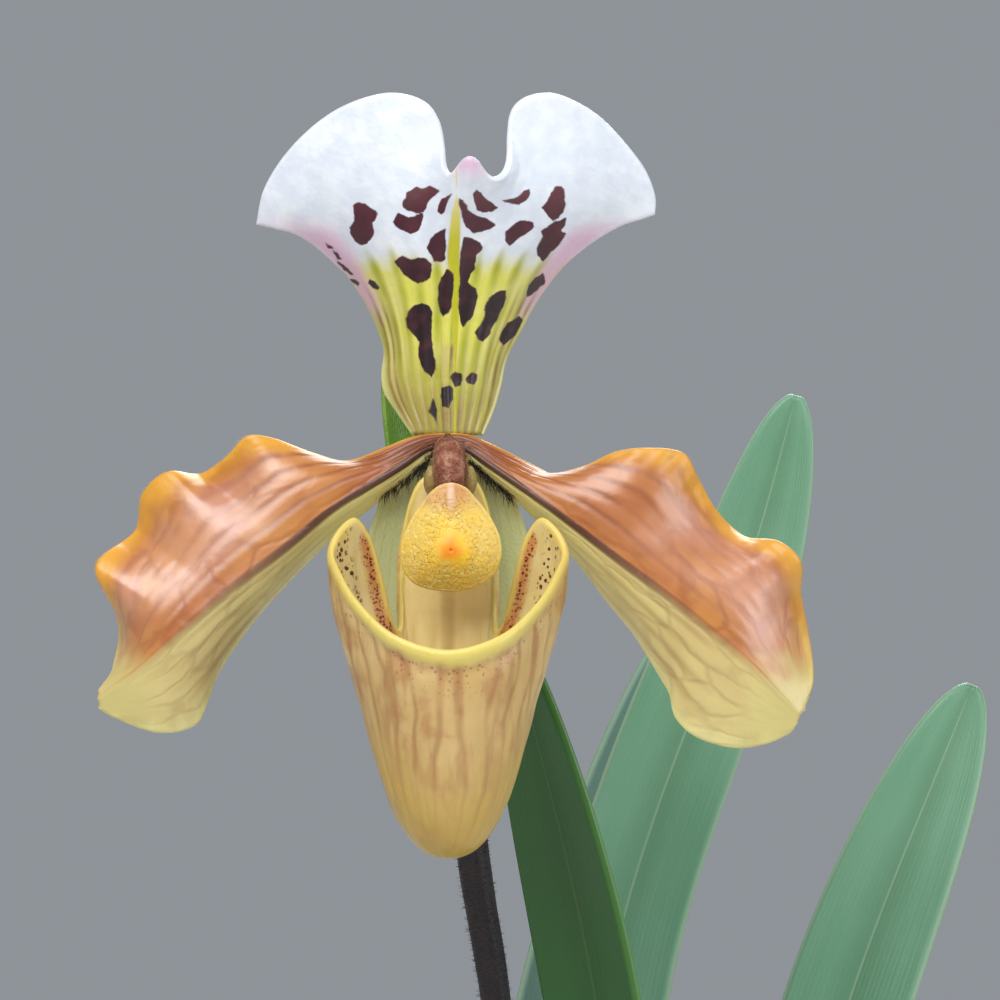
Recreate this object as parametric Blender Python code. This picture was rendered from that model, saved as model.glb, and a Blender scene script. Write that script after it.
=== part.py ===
"""A slipper orchid in bloom, standing in a plain clay pot.

The plant is one fan of strap leaves with a single hairy scape. The scape carries a
bract, a ribbed ovary and one flower: a dorsal sepal, two petals, the fused lower
sepals, the pouched lip, and the column with its shield. The frame's origin is the
centre of the pot's base, with +Z up and the flower facing -Y.
"""

import math
import random

import bmesh
import bpy
import numpy as np
from mathutils import Euler, Matrix, Vector

MM = 0.001

# Pot and bark
POT_HEIGHT = 100.0
POT_TOP_RADIUS = 57.0
POT_BASE_RADIUS = 40.0
POT_WALL = 4.5
POT_FLOOR = 6.0
POT_BAND_HEIGHT = 20.0
POT_BAND_STEP = 3.5
POT_SIDES = 48
DRAIN_RADIUS = 4.5
DRAIN_CIRCLE = 20.0
DRAIN_COUNT = 4
BARK_TOP = 88.0
BARK_GAP = 0.35
CHIP_COUNT = 46
CHIP_SIZE = (13.0, 8.5, 7.0)

# Where the leaves and the scape stand
CROWN_TOP = 90.0
CROWN_HEIGHT = 14.0
CROWN_HALF = (22.5, 8.5)
LEAF_FOOT = CROWN_TOP + 0.35

# The flower's centre, where its parts meet, and its parts' thickness
FLOWER = np.array([-11.0, -45.0, 318.0])
SEPAL_THICK = 1.1
PETAL_THICK = 1.1
LIP_THICK = 1.2
LEAF_THICK = 1.7

SCAPE_RADIUS = (2.3, 2.0, 2.35)

# The outlines of the flower are written as a viewer straight in front sees them, who
# stands this far off, looks at this point beside the flower's centre, and looks down by
# this slope
VIEW_DISTANCE = 580.0
VIEW_POINT = (6.5, -7.8)
VIEW_SLOPE = math.tan(math.radians(3))

# The dorsal sepal's edges, as (x, depth, z) from the flower's centre
DORSAL_LEFT = [
    (-4.6, 0.8, 1.4), (-6.4, 3.0, 3.4), (-8.0, 4.2, 5.8), (-8.2, 5.2, 7.9), (-7.8, 7.0, 11.0),
    (-8.8, 8.0, 14.1), (-10.6, 8.5, 17.6), (-12.3, 8.4, 20.1), (-14.4, 8.0, 22.1),
    (-16.5, 7.5, 23.9), (-19.0, 7.0, 25.4), (-21.4, 6.4, 26.0), (-23.9, 6.0, 26.6),
]
DORSAL_RIGHT = [
    (4.5, 0.8, 1.5), (5.7, 2.8, 3.8), (6.6, 4.6, 6.8), (6.9, 6.0, 8.9), (7.6, 7.2, 11.0),
    (9.1, 8.0, 13.6), (10.5, 8.5, 16.3), (12.3, 8.4, 19.0), (14.4, 8.0, 21.5), (16.8, 7.5, 23.6),
    (19.6, 7.0, 25.4), (22.0, 6.5, 26.6), (24.1, 6.2, 27.2), (25.8, 6.0, 27.8),
]
DORSAL_TOP = [
    (-23.9, 6.0, 26.6), (-22.9, 5.2, 31.0), (-19.4, 4.4, 36.3), (-13.8, 3.6, 40.9),
    (-7.8, 2.6, 42.9), (-2.6, 1.4, 41.2), (-0.8, 0.0, 36.9), (-0.5, -1.4, 34.6),
    (0.2, -2.8, 32.8), (1.4, -4.2, 34.1), (2.8, -5.0, 35.0), (4.1, -4.2, 34.1),
    (5.3, -2.8, 32.5), (6.6, -2.4, 32.4), (7.4, -1.2, 34.6), (8.0, 0.0, 37.1),
    (8.7, 1.4, 40.6), (10.8, 2.2, 42.8), (13.2, 2.6, 42.9), (18.5, 3.4, 40.3),
    (23.1, 4.6, 35.5), (24.9, 5.2, 32.8), (25.9, 5.8, 29.8), (25.8, 6.0, 27.8),
]
DORSAL_MID_DEPTH = [0.0, 1.0, 1.0, 0.2, -1.2, -3.2]

# The petals' midribs and edges
LEFT_PETAL = {
    "upper": [
        (-0.4, -0.2, 0.6), (-2.6, -0.4, 0.4), (-4.9, -0.6, -0.1), (-7.8, -0.5, -1.3), (-13.0, 0.8, -3.3),
        (-17.3, 0.0, -2.1), (-22.6, -2.2, 0.0), (-25.1, -2.6, 0.2), (-27.6, -1.2, -2.3),
        (-31.1, 1.4, -4.7), (-35.4, -1.4, -4.4), (-38.1, -0.8, -6.9), (-38.9, 2.0, -11.5),
        (-44.1, -4.0, -16.1), (-41.3, -1.0, -21.8), (-40.9, 0.4, -24.6), (-42.1, -3.0, -29.3),
        (-43.8, -5.2, -32.0),
    ],
    "midrib": [
        (-0.4, -0.5, -0.7), (-2.6, -1.1, -1.5), (-5.9, -2.2, -3.7), (-10.1, -3.5, -6.3), (-14.4, -4.8, -9.1),
        (-20.2, -6.2, -14.0), (-27.4, -7.2, -19.5), (-33.1, -7.4, -24.4), (-38.9, -6.8, -29.5),
        (-43.9, -5.8, -32.9),
    ],
    "lower": [
        (-0.4, -0.3, -2.2), (-2.6, -0.4, -2.8), (-5.9, -0.5, -5.8), (-8.8, 0.0, -7.8), (-14.1, 0.4, -12.0),
        (-19.4, 0.0, -17.1), (-25.0, 0.0, -23.5), (-29.1, -1.0, -29.8), (-30.3, -1.8, -33.0),
        (-31.6, -2.6, -35.9), (-36.0, -4.0, -37.0), (-41.8, -5.0, -35.1), (-43.9, -5.4, -33.8),
    ],
}
RIGHT_PETAL = {
    "upper": [
        (0.4, -0.2, 0.6), (2.6, -0.4, 0.3), (6.0, -0.6, -1.2), (11.3, 0.5, -4.1), (12.9, 0.8, -4.9),
        (17.4, -0.5, -3.8), (21.4, -2.4, -1.8), (25.9, -3.4, -1.3), (29.5, -2.2, -2.0),
        (31.1, -0.6, -4.9), (33.4, 1.0, -9.1), (37.0, 0.6, -12.5), (41.6, -2.5, -13.1),
        (44.0, -3.0, -15.3), (44.0, -0.2, -19.5), (44.9, 0.4, -24.1), (45.7, -2.0, -29.4),
        (45.4, -3.6, -32.0), (44.4, -5.0, -34.4),
    ],
    "midrib": [
        (0.4, -0.5, -0.7), (2.4, -1.1, -1.5), (5.0, -2.0, -3.3), (9.6, -3.4, -6.5), (13.5, -4.6, -9.4),
        (21.4, -6.2, -15.6), (29.2, -7.2, -21.5), (37.4, -7.2, -28.4), (41.6, -6.4, -32.6),
        (44.0, -5.6, -35.0),
    ],
    "lower": [
        (0.4, -0.3, -2.2), (2.5, -0.4, -2.8), (5.6, -0.5, -5.1), (10.5, 0.2, -9.4), (15.5, 0.4, -14.4),
        (20.0, 0.0, -20.3), (23.6, 0.0, -24.8), (26.5, -0.8, -29.6), (28.0, -1.4, -32.3),
        (28.6, -2.2, -35.1), (31.1, -3.0, -37.5), (37.0, -4.0, -38.9), (42.4, -5.0, -37.3),
        (43.9, -5.4, -35.7),
    ],
}
PETAL_SWELL = 1.6

# The lip's rim on one side, front to back, and its bag by height
LIP_RIM = [
    (0.0, -24.2, -26.6), (6.3, -22.8, -24.8), (10.6, -19.0, -21.0), (13.6, -14.8, -16.8),
    (14.7, -11.2, -14.0), (13.6, -8.8, -11.4), (11.6, -7.0, -10.0), (9.8, -6.2, -12.2), (8.4, -5.8, -17.0),
    (7.2, -5.0, -23.0), (6.3, -4.2, -24.0), (6.0, -3.2, -18.0), (5.6, -2.6, -11.0),
    (3.4, -2.2, -5.2), (0.0, -2.0, -4.2),
]
LIP_TOE = -52.4
LIP_LEVELS = [0.0, 0.3, 1.1, 2.4, 4.4, 6.8, 9.8, 13.6, 18.6, 25.0, 32.0, 40.0, 48.0]
LIP_HALF_WIDTH = [0.0, 1.7, 3.2, 4.5, 5.8, 7.0, 8.0, 9.1, 10.2, 11.5, 12.8, 13.2, 12.6]
LIP_HALF_DEPTH = [0.0, 1.7, 3.2, 4.5, 5.8, 6.9, 7.9, 8.8, 9.7, 10.4, 10.6, 10.6, 10.4]
LIP_MIDDLE_DEPTH = [-16.6, -16.6, -16.5, -16.3, -15.9, -15.4, -15.0, -14.6, -14.2, -13.8, -13.6, -13.6, -13.4]

# The leaves: foot, two or three points along the midrib, tip, half width, and the way
# that the upper face looks half way up
LEAVES = {
    "leaf_1": {"path": [(10.8, 0.0, 0), (15.0, -10.0, 172), (9.4, -18.5, 238), (-2.4, -26.0, 291)],
               "half_width": 8.5, "facing": (-0.62, -0.70, 0.15)},
    "leaf_2": {"path": [(7.2, 0.0, 0), (7.6, 14.0, 172), (11.2, 24.0, 240), (31.6, 30.0, 300), (37.4, 31.0, 321)],
               "half_width": 9.0, "facing": (-0.10, -0.97, 0.20)},
    "leaf_3": {"path": [(-7.2, 0.0, 0), (-5.0, 20.0, 172), (6.6, 38.0, 235), (24.5, 45.0, 291)],
               "half_width": 9.0, "facing": (0.20, -0.95, 0.20)},
    "leaf_4": {"path": [(14.4, 0.0, 0), (27.0, 6.0, 175), (43.2, 15.0, 235), (61.4, 20.0, 281)],
               "half_width": 9.0, "facing": (-0.15, -0.95, 0.28)},
    "leaf_5": {"path": [(-10.8, 0.0, 0), (-20.0, 12.0, 162), (-26.0, 23.0, 200), (-40.0, 31.0, 232)],
               "half_width": 9.0, "facing": (0.25, -0.92, 0.30)},
    "leaf_6": {"path": [(-14.4, 0.0, 0), (-39.0, -10.0, 158), (-73.0, -18.0, 200), (-110.0, -26.0, 194)],
               "half_width": 10.0, "facing": (0.25, -0.30, 0.92)},
    "leaf_7": {"path": [(18.0, 0.0, 0), (49.0, -10.0, 150), (86.0, -20.0, 180), (122.0, -27.0, 168)],
               "half_width": 10.0, "facing": (-0.25, -0.30, 0.92)},
    "leaf_8": {"path": [(-18.0, 0.0, 0), (-50.0, 15.0, 130), (-77.0, 38.0, 142), (-101.0, 58.0, 122)],
               "half_width": 9.4, "facing": (0.20, 0.05, 0.97)},
}
LEAF_ROWS = 17
LEAF_FOOT_HALF_WIDTH = 6.6
LEAF_FOOT_FOLD = math.radians(27)
LEAF_BLADE_FOLD = math.radians(14)

COLOURS = {
    "clay": ((0.62, 0.30, 0.18), 0.85),
    "bark": ((0.20, 0.12, 0.07), 0.9),
    "crown": ((0.33, 0.36, 0.14), 0.7),
    "leaf": ((0.12, 0.32, 0.16), 0.45),
    "scape": ((0.09, 0.05, 0.05), 0.7),
    "ovary": ((0.32, 0.28, 0.12), 0.7),
    "bract": ((0.24, 0.42, 0.12), 0.5),
    "dorsal_sepal": ((0.90, 0.93, 0.88), 0.45),
    "synsepal": ((0.70, 0.78, 0.50), 0.5),
    "petal": ((0.76, 0.44, 0.16), 0.3),
    "lip": ((0.80, 0.58, 0.27), 0.35),
    "staminode": ((0.93, 0.74, 0.22), 0.35),
    "column": ((0.60, 0.33, 0.22), 0.6),
}


def clear_scene():
    for obj in list(bpy.data.objects):
        bpy.data.objects.remove(obj, do_unlink=True)


def material(name):
    """A Principled material in the part's own colour."""
    if name in bpy.data.materials:
        return bpy.data.materials[name]
    made = bpy.data.materials.new(name)
    made.use_nodes = True
    colour, roughness = COLOURS[name]
    shader = made.node_tree.nodes["Principled BSDF"]
    shader.inputs["Base Color"].default_value = (*colour, 1.0)
    shader.inputs["Roughness"].default_value = roughness
    return made


def curve_through(points, count):
    """A smooth curve through the points, read at evenly spaced lengths. Each span is a
    cubic whose end slopes are those of the chords beside it."""
    points = np.asarray(points, float)
    steps = np.sqrt(np.linalg.norm(np.diff(points, axis=0), axis=1))
    knots = np.concatenate([[0.0], np.cumsum(steps)])
    slopes = np.gradient(points, knots, axis=0)
    fine = np.linspace(0.0, knots[-1], 40 * len(points))
    span = np.clip(np.searchsorted(knots, fine, side="right") - 1, 0, len(points) - 2)
    width = (knots[span + 1] - knots[span])[:, None]
    t = (fine - knots[span])[:, None] / width
    read = (
        (2 * t**3 - 3 * t**2 + 1) * points[span]
        + (t**3 - 2 * t**2 + t) * width * slopes[span]
        + (3 * t**2 - 2 * t**3) * points[span + 1]
        + (t**3 - t**2) * width * slopes[span + 1]
    )
    length = np.concatenate([[0.0], np.cumsum(np.linalg.norm(np.diff(read, axis=0), axis=1))])
    wanted = np.linspace(0.0, length[-1], count)
    return np.stack([np.interp(wanted, length, read[:, k]) for k in range(3)], axis=1)


def link(name, mesh, look, smooth=True):
    obj = bpy.data.objects.new(name, mesh)
    bpy.context.scene.collection.objects.link(obj)
    mesh.materials.append(material(look))
    if smooth:
        mesh.shade_smooth()
    return obj


def blade(name, grid, thickness, look, edge_share=0.62, around=False, pole=None):
    """A sheet of triangles through a grid of points, given its thickness by Solidify. The
    sheet is thinner at its edges, and both faces are split into triangles alike."""
    rows, columns = grid.shape[:2]
    mesh_maker = bmesh.new()
    rings = [[mesh_maker.verts.new(Vector(p) * MM) for p in row] for row in grid]
    last = columns if around else columns - 1
    for upper, lower in zip(rings, rings[1:]):
        for k in range(last):
            n = (k + 1) % columns
            mesh_maker.faces.new((upper[k], lower[k], lower[n]))
            mesh_maker.faces.new((upper[k], lower[n], upper[n]))
    if pole is not None:
        end = mesh_maker.verts.new(Vector(pole) * MM)
        for k in range(last):
            mesh_maker.faces.new((rings[-1][k], end, rings[-1][(k + 1) % columns]))
    mesh = bpy.data.meshes.new(name)
    mesh_maker.to_mesh(mesh)
    mesh_maker.free()
    obj = link(name, mesh, look)
    group = obj.vertex_groups.new(name="thickness")
    for r in range(rows):
        for k in range(columns):
            at_edge = r == 0 or (not around and k in (0, columns - 1)) or (pole is None and r == rows - 1)
            group.add([r * columns + k], edge_share if at_edge else 1.0, "REPLACE")
    if pole is not None:
        group.add([rows * columns], 1.0, "REPLACE")
    solid = obj.modifiers.new("thickness", "SOLIDIFY")
    solid.thickness = thickness * MM
    solid.offset = -1.0 if around else 0.0
    solid.vertex_group = "thickness"
    return obj


def rod(name, points, radii, look, sides=12):
    """A round rod along a curve, with a radius at each point and flat ends. Its rings turn
    with the curve and don't twist round it."""
    along = np.gradient(points, axis=0)
    along /= np.linalg.norm(along, axis=1)[:, None]
    out = np.array([1.0, 0.0, 0.0])
    mesh_maker = bmesh.new()
    rings = []
    for point, heading, radius in zip(points, along, radii):
        out = out - heading * np.dot(out, heading)
        out /= np.linalg.norm(out)
        other = np.cross(heading, out)
        ring = []
        for k in range(sides):
            turn = 2 * math.pi * k / sides
            spot = point + radius * (math.cos(turn) * out + math.sin(turn) * other)
            ring.append(mesh_maker.verts.new(Vector(spot) * MM))
        rings.append(ring)
    for lower, upper in zip(rings, rings[1:]):
        for k in range(sides):
            n = (k + 1) % sides
            mesh_maker.faces.new((lower[k], lower[n], upper[n], upper[k]))
    mesh_maker.faces.new(rings[0][::-1])
    mesh_maker.faces.new(rings[-1])
    mesh = bpy.data.meshes.new(name)
    mesh_maker.to_mesh(mesh)
    mesh_maker.free()
    return link(name, mesh, look)


def turned(name, profile, sides, look):
    """A body turned round the Z axis. The profile starts and ends on the axis or closes
    on itself, and is listed down its outer side."""
    mesh_maker = bmesh.new()
    verts = [mesh_maker.verts.new((r * MM, 0.0, z * MM)) for r, z in profile]
    edges = [mesh_maker.edges.new(pair) for pair in zip(verts, verts[1:])]
    bmesh.ops.spin(
        mesh_maker, geom=verts + edges, cent=(0, 0, 0), axis=(0, 0, 1),
        angle=2 * math.pi, steps=sides, use_merge=True,
    )
    bmesh.ops.remove_doubles(mesh_maker, verts=mesh_maker.verts, dist=0.00005)
    bmesh.ops.recalc_face_normals(mesh_maker, faces=mesh_maker.faces)
    mesh = bpy.data.meshes.new(name)
    mesh_maker.to_mesh(mesh)
    mesh_maker.free()
    return link(name, mesh, look, smooth=False)


def cutter(obj):
    obj.hide_render = True
    obj.display_type = "WIRE"
    return obj


def cut(obj, tool):
    step = obj.modifiers.new("cut", "BOOLEAN")
    step.operation = "DIFFERENCE"
    step.object = cutter(tool)


def make_pot():
    inside_top = POT_TOP_RADIUS - POT_WALL
    inside_base = POT_BASE_RADIUS - POT_WALL + 1.0
    band = POT_HEIGHT - POT_BAND_HEIGHT
    below_band = POT_BASE_RADIUS + (POT_TOP_RADIUS - POT_BAND_STEP - POT_BASE_RADIUS) * band / POT_HEIGHT
    profile = [
        (0.0, POT_FLOOR), (inside_base, POT_FLOOR), (inside_top - 1.0, POT_HEIGHT - 3.0),
        (inside_top, POT_HEIGHT), (POT_TOP_RADIUS - 1.2, POT_HEIGHT), (POT_TOP_RADIUS, POT_HEIGHT - 1.4),
        (POT_TOP_RADIUS - 1.0, band + 1.2), (POT_TOP_RADIUS - 2.2, band), (below_band, band),
        (POT_BASE_RADIUS, 1.5), (POT_BASE_RADIUS - 1.5, 0.0), (0.0, 0.0),
    ]
    pot = turned("pot", profile, POT_SIDES, "clay")
    for k in range(DRAIN_COUNT):
        turn = 2 * math.pi * (k + 0.5) / DRAIN_COUNT
        bpy.ops.mesh.primitive_cylinder_add(
            vertices=16, radius=DRAIN_RADIUS * MM, depth=3 * POT_FLOOR * MM,
            location=(DRAIN_CIRCLE * math.cos(turn) * MM, DRAIN_CIRCLE * math.sin(turn) * MM, 0.0),
        )
        hole = bpy.context.object
        hole.name = f"drain_cutter_{k + 1}"
        cut(pot, hole)
    return pot


def inside_radius(height):
    """The pot's inner radius at a height."""
    low = POT_BASE_RADIUS - POT_WALL + 1.0
    high = POT_TOP_RADIUS - POT_WALL - 1.0
    return low + (high - low) * (height - POT_FLOOR) / (POT_HEIGHT - 3.0 - POT_FLOOR)


def chip(number, spot, size, turn):
    """One block of bark with chipped corners, half sunk in the bark bed."""
    mesh_maker = bmesh.new()
    bmesh.ops.create_cube(mesh_maker, size=1.0)
    draw = random.Random(number)
    for vert in mesh_maker.verts:
        vert.co += Vector([draw.uniform(-0.16, 0.16) for _ in range(3)])
    spin = Matrix.Translation(Vector(spot) * MM) @ turn.to_matrix().to_4x4()
    mesh_maker.transform(spin @ Matrix.Diagonal((*[s * MM for s in size], 1.0)))
    mesh = bpy.data.meshes.new(f"chip_{number}")
    mesh_maker.to_mesh(mesh)
    mesh_maker.free()
    return bpy.data.objects.new(mesh.name, mesh)


def make_bark():
    """The bed of bark, with loose chips joined to its top and a pocket for the crown."""
    low, high = POT_FLOOR + BARK_GAP, BARK_TOP
    bed = turned(
        "bark",
        [(0.0, high), (inside_radius(high) - BARK_GAP, high), (inside_radius(low) - BARK_GAP, low), (0.0, low)],
        40, "bark",
    )
    draw = random.Random(5)
    chips = bpy.data.collections.new("chips")
    bpy.context.scene.collection.children.link(chips)
    golden = math.pi * (3 - math.sqrt(5))
    reach = inside_radius(high) - 8.5
    for number in range(CHIP_COUNT):
        out = 10.0 + (reach - 10.0) * math.sqrt((number + 0.5) / CHIP_COUNT)
        around = number * golden
        size = [s * draw.uniform(0.75, 1.25) for s in CHIP_SIZE]
        spot = (out * math.cos(around), out * math.sin(around), high + draw.uniform(-1.2, 0.1))
        turn = Euler((draw.uniform(-0.16, 0.16), draw.uniform(-0.14, 0.14), draw.uniform(0, math.pi)))
        if math.hypot(spot[0] / (CROWN_HALF[0] + 8), spot[1] / (CROWN_HALF[1] + 8)) > 1:
            chips.objects.link(chip(number, spot, size, turn))
    join = bed.modifiers.new("chips", "BOOLEAN")
    join.operation = "UNION"
    join.solver = "MANIFOLD"
    join.operand_type = "COLLECTION"
    join.collection = chips
    keep_outer_skin(bed)
    for obj in list(chips.objects):
        bpy.data.objects.remove(obj, do_unlink=True)
    bpy.data.collections.remove(chips)
    pocket = oval("crown_pocket", CROWN_HALF[0] + 0.5, CROWN_HALF[1] + 0.5, CROWN_TOP - CROWN_HEIGHT - 0.4, 130.0)
    cut(bed, pocket)
    return bed


def keep_outer_skin(obj):
    """Applies the object's modifiers and drops the tiny shut gaps left between chips."""
    graph = bpy.context.evaluated_depsgraph_get()
    made = bpy.data.meshes.new_from_object(obj.evaluated_get(graph))
    obj.modifiers.clear()
    obj.data = made
    mesh_maker = bmesh.new()
    mesh_maker.from_mesh(made)
    skin = {min(mesh_maker.verts, key=lambda vert: vert.co.z)}
    front = list(skin)
    while front:
        for edge in front.pop().link_edges:
            for vert in edge.verts:
                if vert not in skin:
                    skin.add(vert)
                    front.append(vert)
    inner = [vert for vert in mesh_maker.verts if vert not in skin]
    bmesh.ops.delete(mesh_maker, geom=inner, context="VERTS")
    mesh_maker.to_mesh(made)
    mesh_maker.free()


def oval(name, half_x, half_y, low, high, look="crown", sides=28):
    """An upright block with an oval outline."""
    mesh_maker = bmesh.new()
    bmesh.ops.create_cone(
        mesh_maker, segments=sides, cap_ends=True, radius1=1.0, radius2=1.0, depth=1.0,
        matrix=Matrix.Translation((0, 0, (low + high) / 2 * MM))
        @ Matrix.Diagonal((half_x * MM, half_y * MM, (high - low) * MM, 1.0)),
    )
    mesh = bpy.data.meshes.new(name)
    mesh_maker.to_mesh(mesh)
    mesh_maker.free()
    return link(name, mesh, look, smooth=False)


def leaf_grid(spec):
    """A strap leaf. Its midrib is a smooth curve, its two halves rise from the midrib at a
    fold angle that opens from the clasping foot to the blade, and its width runs from the
    foot's to the blade's and then closes in a blunt tip."""
    points = [(spec["path"][0][0], spec["path"][0][1], LEAF_FOOT)]
    points.append((points[0][0], points[0][1], LEAF_FOOT + 16.0))
    points += spec["path"][1:]
    midrib = curve_through(points, LEAF_ROWS * 4)
    share = np.linspace(0.0, 1.0, len(midrib))
    along = np.gradient(midrib, axis=0)
    along /= np.linalg.norm(along, axis=1)[:, None]
    side = np.sign(points[0][0])
    foot_up = np.array([-side, 0.0, 0.0])
    blade_up = np.array(spec["facing"], float)
    blend = smooth_step(share, 0.18, 0.62)[:, None]
    up = foot_up * (1 - blend) + blade_up * blend
    up -= along * np.sum(up * along, axis=1)[:, None]
    up /= np.linalg.norm(up, axis=1)[:, None]
    across = np.cross(along, up)
    fold = LEAF_FOOT_FOLD + (LEAF_BLADE_FOLD - LEAF_FOOT_FOLD) * smooth_step(share, 0.05, 0.5)
    widen = LEAF_FOOT_HALF_WIDTH + (spec["half_width"] - LEAF_FOOT_HALF_WIDTH) * smooth_step(share, 0.1, 0.6)
    tip = np.sqrt(np.clip(1 - np.clip((share - 0.72) / 0.285, 0, 1) ** 2.6, 0, 1))
    half = widen * tip
    rows = np.unique(np.round(leaf_row_shares() * (len(midrib) - 1)).astype(int))
    grid = []
    for v in (-1.0, -0.5, 0.0, 0.5, 1.0):
        lift = (abs(v) ** 1.15) * np.sin(fold) * half
        grid.append(midrib + across * (v * np.cos(fold) * half)[:, None] + up * lift[:, None])
    return np.stack(grid, axis=1)[rows]


def leaf_row_shares():
    """Where the leaf's rows lie: closer together near the tip."""
    even = np.linspace(0.0, 1.0, LEAF_ROWS)
    return 1 - (1 - even) ** 1.35


def place(points):
    """Moves points from where the viewer sees them to their true places for their depth."""
    out = np.array(points, float)
    scale = 1 + out[..., 1] / VIEW_DISTANCE
    out[..., 0] = VIEW_POINT[0] + (out[..., 0] - VIEW_POINT[0]) * scale
    out[..., 2] = VIEW_POINT[1] + (out[..., 2] - VIEW_POINT[1]) * scale - out[..., 1] * VIEW_SLOPE
    return out + FLOWER


def smooth_step(value, low, high):
    t = np.clip((value - low) / (high - low), 0.0, 1.0)
    return t * t * (3 - 2 * t)


def make_leaves():
    for name, spec in LEAVES.items():
        blade(name, leaf_grid(spec), LEAF_THICK, "leaf", edge_share=0.55)


def make_crown():
    """The short stem that the leaves clasp."""
    return oval("crown", CROWN_HALF[0] - 0.4, CROWN_HALF[1] - 0.4, CROWN_TOP - CROWN_HEIGHT, CROWN_TOP)


SCAPE_PATH = [
    (0, -0.6, LEAF_FOOT), (0.2, -2.6, 140), (-2.4, -5.5, 212), (-5.2, -8.0, 242), (-8.1, -10.0, 261), (-10.3, -12.8, 287),
]
OVARY_PATH = [
    (-10.4, -13.1, 288.5), (-10.8, -16.8, 300), (-11.0, -25.0, 311.0), (-11, -35.0, 316.8), (-11, -43.2, 318),
]
BRACT_PATH = [(-10.3, -9.2, 286.5), (-12.0, -7.4, 298), (-14.6, -7.6, 312), (-18.6, -9.8, 328)]
BRACT_HALF_WIDTH = 7.4


def make_scape():
    path = curve_through(SCAPE_PATH, 18)
    radii = np.interp(np.linspace(0, 1, len(path)), (0.0, 0.75, 1.0), SCAPE_RADIUS)
    rod("scape", path, radii, "scape")


def make_ovary():
    path = curve_through(OVARY_PATH, 12)
    swell = 2.1 + 0.7 * np.sin(np.pi * np.linspace(0.05, 0.85, len(path)))
    rod("ovary", path, swell, "ovary")


def make_bract():
    """The green sheath behind the ovary, folded along its keel and open to the front."""
    midrib = curve_through(BRACT_PATH, 10)
    share = np.linspace(0, 1, len(midrib))
    along = np.gradient(midrib, axis=0)
    along /= np.linalg.norm(along, axis=1)[:, None]
    up = np.tile(np.array([0.1, -1.0, 0.0]), (len(midrib), 1))
    up -= along * np.sum(up * along, axis=1)[:, None]
    up /= np.linalg.norm(up, axis=1)[:, None]
    across = np.cross(along, up)
    half = BRACT_HALF_WIDTH * np.sqrt(np.clip(1 - np.clip((share - 0.2) / 0.83, 0, 1) ** 2, 0, 1))
    half *= 0.62 + 0.38 * smooth_step(share, 0, 0.3)
    grid = []
    for v in np.linspace(-1, 1, 7):
        turn = v * math.radians(74)
        radius = half / math.radians(74)
        grid.append(midrib + across * (radius * np.sin(turn))[:, None] + up * (radius * (1 - np.cos(turn)))[:, None])
    blade("bract", np.stack(grid, axis=1), 0.9, "bract", edge_share=0.7)


def dorsal_grid(rows, columns):
    """The dorsal sepal. Its outline is a patch between four edges: the short base, two
    flaring sides and the two-lobed top. Its depth runs from the midline to the rolled-back
    sides by a power of the distance across, and meets the top edge's own depth."""
    v = np.linspace(0, 1, rows)[:, None, None]
    u = np.linspace(0, 1, columns)[None, :, None]
    left = curve_through(DORSAL_LEFT, rows)[:, None, :]
    right = curve_through(DORSAL_RIGHT, rows)[:, None, :]
    top = curve_through(DORSAL_TOP, columns)[None, :, :]
    foot = left[0] * (1 - u[0]) + right[0] * u[0]
    base = foot[None, :, :]
    corners = (
        (1 - u) * (1 - v) * base[:, :1] + u * (1 - v) * base[:, -1:]
        + (1 - u) * v * top[:, :1] + u * v * top[:, -1:]
    )
    grid = (1 - v) * base + v * top + (1 - u) * left + u * right - corners
    middle = np.interp(v[:, 0, 0], np.linspace(0, 1, len(DORSAL_MID_DEPTH)), DORSAL_MID_DEPTH)[:, None]
    off = np.abs(2 * u[0, :, 0] - 1)[None, :]
    side = np.where(u[0, :, 0][None, :] < 0.5, left[:, :, 1], right[:, :, 1])
    rolled = middle + (side - middle) * off**2.4
    share = v[:, :, 0] ** 5
    grid[:, :, 1] = rolled * (1 - share) + top[:, :, 1] * share
    return place(grid)


def petal_grid(edges, rows, upper_columns, lower_columns):
    """A petal. Rows run from the midrib out to each edge, with a low swell between them
    that stands towards the viewer."""
    upper = curve_through(edges["upper"], rows)
    midrib = curve_through(edges["midrib"], rows)
    lower = curve_through(edges["lower"], rows)
    share = np.linspace(0, 1, rows)
    swell = PETAL_SWELL * np.sin(np.pi * np.clip(share * 1.05, 0, 1))
    columns = []
    for v in np.linspace(1, 0, upper_columns + 1):
        point = midrib + (upper - midrib) * v
        point[:, 1] -= swell * 4 * v * (1 - v)
        columns.append(point)
    for v in np.linspace(0, 1, lower_columns + 1)[1:]:
        point = midrib + (lower - midrib) * v
        point[:, 1] -= swell * 3 * v * (1 - v)
        columns.append(point)
    return place(np.stack(columns, axis=1))


def make_petals():
    for name, edges in (("petal_left", LEFT_PETAL), ("petal_right", RIGHT_PETAL)):
        grid = petal_grid(edges, 27, 6, 4)
        blade(name, grid, PETAL_THICK, "petal", edge_share=0.65)


def synsepal_grid(rows, columns):
    """The two lower sepals grown into one. It hangs behind the lip, hollow towards it."""
    share = np.linspace(0, 1, rows)
    half = 11.2 * np.sin(np.pi * np.clip(0.16 + 0.80 * share, 0, 1)) ** 0.75
    across = np.linspace(-1, 1, columns)
    x = half[:, None] * across[None, :]
    z = np.repeat((-3.6 - 41.0 * share)[:, None], columns, axis=1)
    z += 3.0 * (1 - share[:, None]) * (1 - across[None, :] ** 2) * 0.5
    middle = 0.8 + 4.6 * np.sin(np.pi * share * 0.62)
    y = middle[:, None] - 2.2 * np.abs(across[None, :]) ** 2 * np.sin(np.pi * share)[:, None]
    return place(np.stack([x, y, z], axis=2))


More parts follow.
